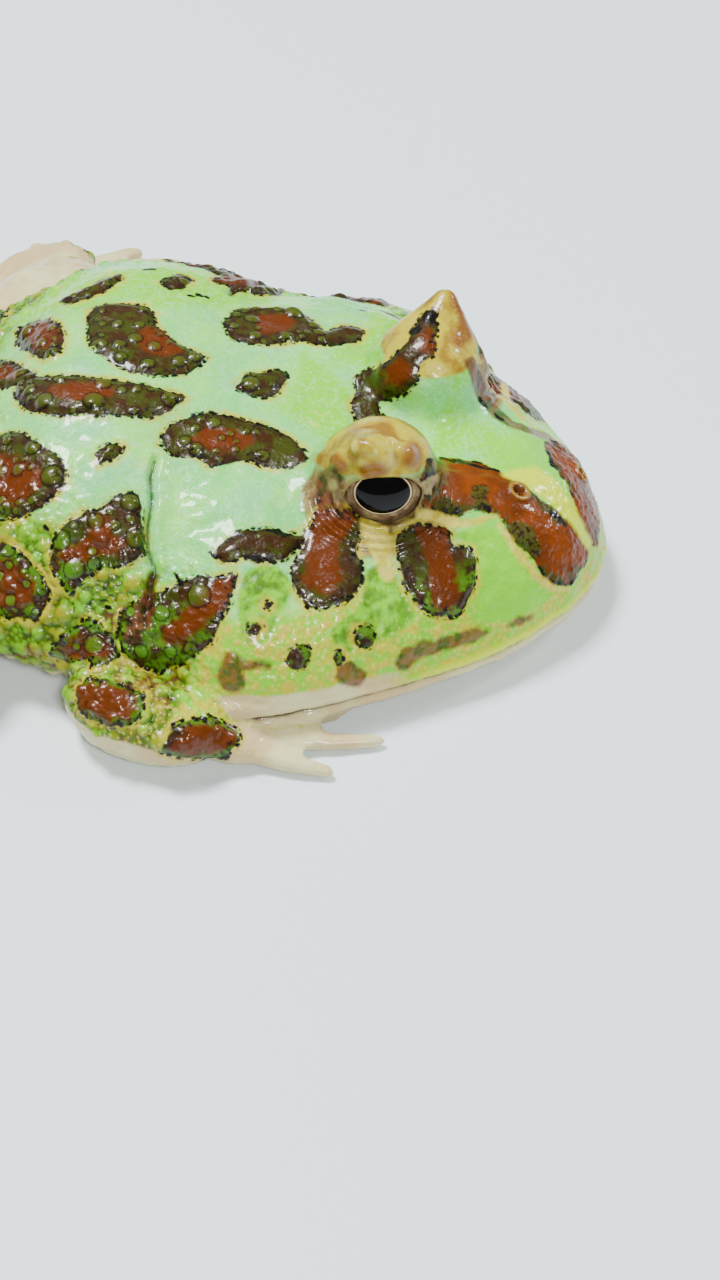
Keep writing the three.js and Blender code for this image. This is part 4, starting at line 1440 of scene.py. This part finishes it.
@dataclass(frozen=True)
class SkinFinish:
    """Moist, painted frog skin."""

    mint: Color = srgb(134, 218, 92)
    teal: Color = srgb(108, 206, 104)
    lime: Color = srgb(120, 196, 10)
    spring: Color = srgb(122, 206, 16)
    leaf: Color = srgb(70, 118, 14)
    moss: Color = srgb(50, 62, 8)
    yellow: Color = srgb(150, 150, 12)
    gold: Color = srgb(196, 212, 0)
    cream: Color = srgb(204, 190, 84)
    straw: Color = srgb(184, 170, 40)
    tan: Color = srgb(136, 102, 28)
    white: Color = srgb(206, 202, 152)
    pink: Color = srgb(196, 174, 124)
    flesh: Color = srgb(150, 116, 74)
    sheen_thread: Color = srgb(176, 222, 176)
    sea: Color = srgb(110, 196, 140)
    glass: Color = srgb(68, 80, 12)
    olive: Color = srgb(52, 58, 6)
    umber: Color = srgb(52, 30, 6)
    bark: Color = srgb(38, 22, 6)
    black: Color = srgb(8, 6, 2)
    rust: Color = srgb(88, 38, 0)
    orange: Color = srgb(116, 52, 0)
    purple: Color = srgb(100, 48, 32)

    def ground(self, graph: Graph) -> bpy.types.NodeSocket:
        """The greens of the back, flank and cheek, and the pale underside.

        Args:
            graph: The skin's shader.

        Returns:
            The colour's socket.
        """
        cloud = graph.noise(7.0, 3.0)
        fine = graph.noise(1.2, 3.0, 3.0)
        back = graph.mix(graph.step(cloud, 0.38, 0.6), self.mint, self.teal)
        sea = graph.times(graph.step(graph.noise(4.5, 3.0, 40.0), 0.5, 0.66), 0.55)
        back = graph.mix(sea, back, self.sea)
        light = graph.roughen(graph.layer(Paint.SPRING.value), graph.noise(4.0, 3.0, 41.0), 5.0)
        light = graph.times(graph.step(light, 1.6, -1.2), 0.95)
        back = graph.mix(light, back, self.spring)
        fleshy = graph.times(graph.step(graph.noise(3.2, 3.0, 42.0), 0.6, 0.72), 0.5)
        back = graph.mix(fleshy, back, self.cream)
        # painted sheen: pale lines of reflected light along fine wrinkles of the wet back
        sheen_web = graph.math("ABSOLUTE", graph.math("SUBTRACT", graph.noise(1.1, 4.0, 43.0), 0.5))
        back = graph.mix(graph.times(graph.step(sheen_web, 0.035, 0.0), 0.4), back, self.sheen_thread)
        lime = graph.mix(graph.step(fine, 0.35, 0.65), self.lime, self.leaf)
        side = graph.math("MAXIMUM", graph.layer("flank"), graph.layer("limb"))
        deep = graph.step(graph.roughen(side, fine, 0.5), 0.35, 0.9)
        low = graph.mix(graph.times(deep, 0.72), lime, self.moss)
        side = graph.step(graph.roughen(side, cloud, 0.8), 0.15, 0.6)
        rusty = graph.times(graph.step(graph.noise(3.0, 3.0, 44.0), 0.52, 0.6), deep)
        low = graph.mix(graph.times(rusty, 0.75), low, self.purple)
        color = graph.mix(side, back, low)
        front = graph.step(graph.roughen(graph.layer("front"), cloud, 0.6), 0.3, 0.9)
        color = graph.mix(graph.times(front, 0.8), color, self.spring)
        ticks = graph.times(graph.step(graph.noise(0.8, 2.0, 45.0), 0.6, 0.66), deep)
        color = graph.mix(graph.times(ticks, 0.85), color, self.black)
        cheek = graph.step(graph.roughen(graph.layer("cheek"), fine, 0.5), 0.3, 0.7)
        sandy = graph.mix(graph.step(fine, 0.35, 0.6), self.straw, self.lime)
        color = graph.mix(cheek, color, sandy)
        patch = graph.step(graph.roughen(graph.layer("lime"), fine, 1.2), 0.3, -0.3)
        color = graph.mix(patch, color, graph.mix(graph.layer("front"), lime, self.spring))
        pebble = graph.step(graph.layer("pebble"), 0.35, 0.85)
        tips = graph.mix(graph.step(graph.noise(3.5, 1.0, 17.0), 0.42, 0.58), self.lime, self.yellow)
        color = graph.mix(graph.times(pebble, 0.5), color, tips)
        knob = graph.step(graph.layer("knob"), 0.15, 0.8)
        color = graph.mix(graph.times(knob, 0.65), color, tips)
        grain = graph.step(graph.layer("grain"), 0.3, 0.9)
        color = graph.mix(graph.times(grain, 0.55), color, self.cream)
        pale = graph.step(graph.roughen(graph.layer("pale"), fine, 0.5), 0.35, 0.75)
        belly = graph.mix(graph.step(cloud, 0.4, 0.6), self.white, self.pink)
        return graph.mix(pale, color, belly)

    def lids(self, graph: Graph, color: bpy.types.NodeSocket) -> bpy.types.NodeSocket:
        """The cream and orange eyelids, with cream lump tops that are partly painted highlight, and
        bark-brown painted shade in the grooves of the folds under the eye.

        Args:
            graph: The skin's shader.
            color: The colour so far.

        Returns:
            The colour's socket.
        """
        cloud = graph.noise(2.6, 3.0, 5.0)
        lid = graph.mix(graph.step(cloud, 0.4, 0.65), self.straw, self.tan)
        # cream on the lump tops: partly the lid's own colour, partly painted highlight
        lump = graph.step(graph.layer("lump"), 0.35, 0.85)
        lid = graph.mix(graph.times(lump, 0.7), lid, self.cream)
        orange = graph.step(graph.roughen(graph.layer(Paint.ORANGE.value), cloud, 1.6), 0.5, -0.5)
        lid = graph.mix(graph.times(orange, 0.85), lid, self.orange)
        own = graph.step(graph.roughen(graph.layer("lid"), cloud, 0.5), 0.4, 0.85)
        color = graph.mix(own, color, lid)
        rim = graph.mix(graph.step(graph.noise(1.6, 3.0, 6.0), 0.36, 0.6), self.purple, self.flesh)
        below = graph.math("SUBTRACT", 1.0, graph.times(graph.layer("lid"), 0.85))
        socket = graph.times(graph.step(graph.layer("socket"), 0.25, 0.8), below)
        color = graph.mix(graph.times(socket, 0.9), color, rim)
        # painted shade in the grooves of the folds under the eye
        fold_shade = graph.times(graph.step(graph.layer("lid_fold_shade"), 0.2, 0.8), 0.8)
        return graph.mix(fold_shade, color, self.bark)

    def blotches(self, graph: Graph, color: bpy.types.NodeSocket) -> bpy.types.NodeSocket:
        """Dark olive blotches with a pale halo, a dotted black edge and a rust middle.

        Args:
            graph: The skin's shader.
            color: The colour so far.

        Returns:
            The colour's socket.
        """
        wander = graph.noise(1.4, 1.0, 1.0)
        dots = graph.noise(0.42, 1.0, 2.0)
        edge = graph.roughen(graph.layer(Paint.BLOTCH.value), wander, 1.1)
        edge = graph.math("ADD", edge, graph.times(graph.layer("inner"), FAR))
        patchy = graph.times(graph.step(graph.noise(4.0, 2.0, 8.0), 0.35, 0.6), 0.75)
        halo = graph.times(graph.step(edge, 0.95, 0.3), patchy)
        color = graph.mix(halo, color, self.straw)
        cloud = graph.noise(1.6, 3.0, 7.0)
        inside = graph.mix(graph.step(cloud, 0.4, 0.6), self.umber, self.olive)
        dark = graph.times(graph.step(edge, -1.1, -0.3), graph.step(wander, 0.4, 0.6))
        inside = graph.mix(graph.times(dark, 0.75), inside, self.bark)
        side = graph.math("MAXIMUM", graph.layer("flank"), graph.layer("cheek"))
        green = graph.times(graph.step(cloud, 0.42, 0.56), graph.step(side, 0.3, 0.9))
        inside = graph.mix(graph.times(green, 0.8), inside, self.leaf)
        core = graph.roughen(graph.layer(Paint.CORE.value), wander, 1.9)
        inside = graph.mix(graph.step(core, 0.5, -0.4), inside, self.rust)
        dome = graph.step(graph.layer("dome"), 0.2, 0.8)
        glassy = graph.mix(graph.step(side, 0.3, 0.9), self.glass, self.leaf)
        inside = graph.mix(graph.times(dome, 0.7), inside, glassy)
        rings = graph.times(graph.step(graph.layer("dome"), 0.0, 0.08),
                           graph.step(graph.layer("dome"), 0.45, 0.2))
        inside = graph.mix(graph.times(rings, 0.7), inside, self.black)
        specks = graph.times(graph.step(dots, 0.58, 0.66), graph.step(edge, -1.6, -0.4))
        inside = graph.mix(specks, inside, self.black)
        color = graph.mix(graph.step(edge, 0.12, -0.12), color, inside)
        ring = graph.times(graph.step(edge, 0.4, 0.15), graph.step(edge, -0.4, -0.1))
        beads = graph.step(graph.cells(0.55), 0.62, 0.45)
        ring = graph.times(graph.times(ring, beads), graph.step(cloud, 0.36, 0.46))
        return graph.mix(ring, color, self.black)

    def head(self, graph: Graph, color: bpy.types.NodeSocket) -> bpy.types.NodeSocket:
        """The orange-brown mask, the cream and gold lines, the lips, and the painted shade of the mouth
        groove, neck crease and nostril pits.

        Args:
            graph: The skin's shader.
            color: The colour so far.

        Returns:
            The colour's socket.
        """
        wander = graph.noise(1.5, 3.0, 9.0)
        mottle = graph.noise(1.1, 3.0, 12.0)
        edge = graph.roughen(graph.layer(Paint.MASK.value), wander, 0.9)
        brown = graph.mix(graph.step(graph.noise(2.6, 3.0, 14.0), 0.35, 0.65), self.orange, self.rust)
        margin = graph.times(graph.step(edge, -1.3, -0.3), graph.step(wander, 0.48, 0.56))
        brown = graph.mix(margin, brown, self.olive)
        color = graph.mix(graph.step(edge, 0.15, -0.15), color, brown)
        ring = graph.times(graph.step(edge, 0.3, 0.05), graph.step(edge, -0.45, -0.1))
        ring = graph.times(ring, graph.step(mottle, 0.46, 0.56))
        color = graph.mix(ring, color, self.black)
        olive = graph.step(graph.roughen(graph.layer(Paint.OLIVE.value), wander, 1.2), 0.25, -0.35)
        speckled = graph.mix(graph.step(graph.noise(0.5, 1.0, 15.0), 0.5, 0.58), self.moss, self.black)
        color = graph.mix(graph.times(olive, 0.85), color, speckled)
        gold = graph.step(graph.roughen(graph.layer(Paint.GOLD.value), wander, 0.8), 0.4, -0.5)
        color = graph.mix(gold, color, self.gold)
        cream = graph.step(graph.roughen(graph.layer(Paint.CREAM.value), wander, 1.1), 0.15, -0.45)
        sandy = graph.mix(graph.step(mottle, 0.4, 0.62), self.cream, self.straw)
        color = graph.mix(graph.times(cream, 0.9), color, sandy)
        # purple-brown smudges, and the painted shade below the neck crease
        smudge = graph.step(graph.roughen(graph.layer(Paint.SMUDGE.value), wander, 1.4), 0.3, -0.35)
        streaky = graph.mix(graph.step(mottle, 0.45, 0.6), self.purple, self.bark)
        color = graph.mix(graph.times(smudge, 0.85), color, streaky)
        fleck = graph.roughen(graph.layer(Paint.FLECK.value), graph.noise(0.7, 2.0, 19.0), 0.9)
        color = graph.mix(graph.step(fleck, 0.1, -0.1), color, self.black)
        lip = graph.times(graph.step(graph.layer("lip"), 0.05, 0.3),
                         graph.step(graph.layer("lip"), 1.9, 1.0))
        lip = graph.times(lip, graph.step(graph.layer("front"), 0.15, 0.8))
        color = graph.mix(lip, color, self.gold)
        color = graph.mix(graph.step(graph.layer("rim"), 0.4, 0.8), color, self.tan)
        # painted shade where the skin folds: the mouth groove, the neck crease and the nostril pits
        fold_shade = graph.times(graph.step(graph.layer("fold_shade"), 0.3, 0.95), 0.9)
        return graph.mix(fold_shade, color, self.bark)

    def build(self) -> bpy.types.Material:
        """Makes the skin's material.

        Returns:
            The material.
        """
        material = bpy.data.materials.new("frog_skin")
        graph = Graph(material)
        color = self.ground(graph)
        color = self.lids(graph, color)
        color = self.blotches(graph, color)
        color = self.head(graph, color)
        graph.feed(graph.shader.inputs["Base Color"], color)
        rough = graph.roughen(0.34, graph.noise(2.2, 3.0, 21.0), 0.35)
        graph.feed(graph.shader.inputs["Roughness"], rough)
        pores = graph.times(graph.cells(0.42), 0.6)
        wrinkles = graph.noise(1.0, 4.0, 30.0)
        graph.bump(graph.math("ADD", pores, graph.times(wrinkles, 2.2)), 0.07)
        graph.set(
            Subsurface_Weight=0.06,
            Subsurface_Scale=0.0008,
            Coat_Weight=0.3,
            Coat_Roughness=0.07,
            IOR=1.4,
            Specular_IOR_Level=0.25,
        )
        return material


@dataclass(frozen=True)
class EyeFinish:
    """A wet dark eye: half-moon pupil, thin gold ring and a grey-brown rim of inner lid."""

    pupil: Color = srgb(5, 3, 4)
    ring: Color = srgb(232, 206, 150)
    iris: Color = srgb(112, 88, 62)
    fleck: Color = srgb(168, 146, 112)
    roughness: float = 0.09

    def build(self) -> bpy.types.Material:
        """Makes the eye's material.

        Returns:
            The material.
        """
        graph = Graph(bpy.data.materials.new("frog_eye"))
        away = graph.layer("pupil")
        streaks = graph.noise(1.1, 3.0, 2.0)
        iris = graph.mix(graph.step(streaks, 0.4, 0.65), self.iris, self.fleck)
        ring = graph.times(graph.step(away, 0.0, 0.08), graph.step(away, 0.17, 0.1))
        color = graph.mix(graph.step(away, -0.03, 0.05), self.pupil, iris)
        color = graph.mix(ring, color, self.ring)
        lined = graph.times(graph.step(away, 0.14, 0.2), graph.step(away, 0.32, 0.22))
        color = graph.mix(graph.times(lined, 0.8), color, self.pupil)
        graph.feed(graph.shader.inputs["Base Color"], color)
        graph.feed(graph.shader.inputs["Roughness"], graph.roughen(self.roughness, streaks, 0.04))
        graph.set(Coat_Weight=0.2, Coat_Roughness=0.02, IOR=1.33, Specular_IOR_Level=0.2)
        return graph.material


@dataclass
class Eyeball:
    """One eye: a ball with a slightly raised cornea, and its pupil as a layer of distances."""

    side: int
    axes: FrogAxes
    form: EyeForm = EyeForm()
    sectors: int = 96
    rings: int = 64
    pupil_wide_mm: float = 2.75
    pupil_high_mm: float = 2.1
    pupil_down_mm: float = 0.3

    @property
    def node(self) -> str:
        """The CAD node that this eye takes the place of."""
        return EYES[0] if self.side > 0 else EYES[1]

    def build(self, finish: bpy.types.Material) -> bpy.types.Object:
        """Makes the eyeball.

        Args:
            finish: The eye's material.

        Returns:
            The finished piece.
        """
        gaze, level, up = self.form.axes(self.side)
        work = bmesh.new()
        bmesh.ops.create_uvsphere(work, u_segments=self.sectors, v_segments=self.rings, radius=1)
        mesh = bpy.data.meshes.new(self.node + "_ball")
        work.to_mesh(mesh)
        work.free()
        unit = np.empty(len(mesh.vertices) * 3)
        mesh.vertices.foreach_get("co", unit)
        unit = unit.reshape(-1, 3)
        bulge = self.form.cornea_mm * smoothstep(0.55, 1.0, unit[:, 2])
        turned = unit @ np.stack([level * self.side, up, gaze])
        offset = turned * (self.form.ball_mm + bulge)[:, None]
        points = offset + self.form.centre(self.side, self.axes)
        mesh.vertices.foreach_set("co", (points * MM).ravel())
        across = offset @ level / self.pupil_wide_mm
        high = (offset @ up + self.pupil_down_mm) / self.pupil_high_mm
        away = (np.hypot(across, high) - 1) * 0.5 * (self.pupil_wide_mm + self.pupil_high_mm)
        layer = mesh.attributes.new("pupil", "FLOAT", "POINT")
        away = np.where(offset @ gaze > 0, away, FAR)
        layer.data.foreach_set("value", away.astype(np.float32))
        mesh.polygons.foreach_set("use_smooth", np.ones(len(mesh.polygons), bool))
        mesh.materials.append(finish)
        piece = bpy.data.objects.new(self.node + "_ball", mesh)
        bpy.context.scene.collection.objects.link(piece)
        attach(piece, "root")
        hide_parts(self.node)
        return piece


@dataclass(frozen=True)
class Lamp:
    """A soft square light that is aimed at the frog."""

    name: str
    place_m: tuple[float, float, float]
    size_m: float
    watts: float
    color: tuple[float, float, float] = (1.0, 1.0, 1.0)

    def build(self) -> bpy.types.Object:
        """Makes the light."""
        data = bpy.data.lights.new(self.name, "AREA")
        data.size = self.size_m
        data.energy = self.watts
        data.color = self.color
        lamp = bpy.data.objects.new(self.name, data)
        lamp.location = self.place_m
        lamp.rotation_euler = (-Vector(self.place_m)).to_track_quat("-Z", "Y").to_euler()
        bpy.context.scene.collection.objects.link(lamp)
        return lamp


@dataclass
class Studio:
    """A plain pale floor, soft lights and an even pale surround."""

    floor_m: float = 6.0
    floor_color: Color = srgb(222, 234, 240)
    floor_gap_mm: float = 0.05
    surround: Color = (0.9, 0.96, 1.0, 1.0)
    surround_strength: float = 0.24
    lamps: tuple[Lamp, ...] = (
        Lamp("lamp_over", (0.12, 0.3, 0.75), 0.2, 12.5),
        Lamp("lamp_front", (-0.5, -0.35, 0.6), 0.14, 6.0, (1.0, 0.98, 0.95)),
        Lamp("lamp_side", (0.5, -0.5, 0.5), 0.12, 3.0, (0.95, 0.98, 1.0)),
    )

    def floor(self) -> bpy.types.Object:
        """Makes the floor, which isn't part of the frog."""
        mesh = bpy.data.meshes.new("floor")
        half = self.floor_m / 2
        corners = [(-half, -half, 0), (half, -half, 0), (half, half, 0), (-half, half, 0)]
        mesh.from_pydata(corners, [], [(0, 1, 2, 3)])
        graph = Graph(bpy.data.materials.new("pale_floor"))
        graph.set(Base_Color=self.floor_color, Roughness=0.55)
        mesh.materials.append(graph.material)
        floor = bpy.data.objects.new("floor", mesh)
        floor.location.z = -self.floor_gap_mm * MM
        bpy.context.scene.collection.objects.link(floor)
        return floor

    def build(self) -> None:
        """Makes the floor, the lamps and the surround."""
        self.floor()
        for lamp in self.lamps:
            lamp.build()
        world = bpy.data.worlds.new("pale_surround")
        world.use_nodes = True
        background = world.node_tree.nodes["Background"]
        background.inputs["Color"].default_value = self.surround
        background.inputs["Strength"].default_value = self.surround_strength
        bpy.context.scene.world = world


def main() -> None:
    """Builds the studio, the skin and the eyes."""
    logging.basicConfig(level=logging.INFO, format="%(message)s")
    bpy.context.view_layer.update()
    axes = FrogAxes.from_frame()
    view = PhotoView(axes)
    view.build()
    Studio().build()
    skin = Skin(axes, view).build()
    skin.data.materials.clear()
    skin.data.materials.append(SkinFinish().build())
    log.info("%s built", skin.name)
    eye_finish = EyeFinish().build()
    for side in (1, -1):
        eyeball = Eyeball(side, axes).build(eye_finish)
        log.info("%s built", eyeball.name)


if __name__ == "__main__":
    main()
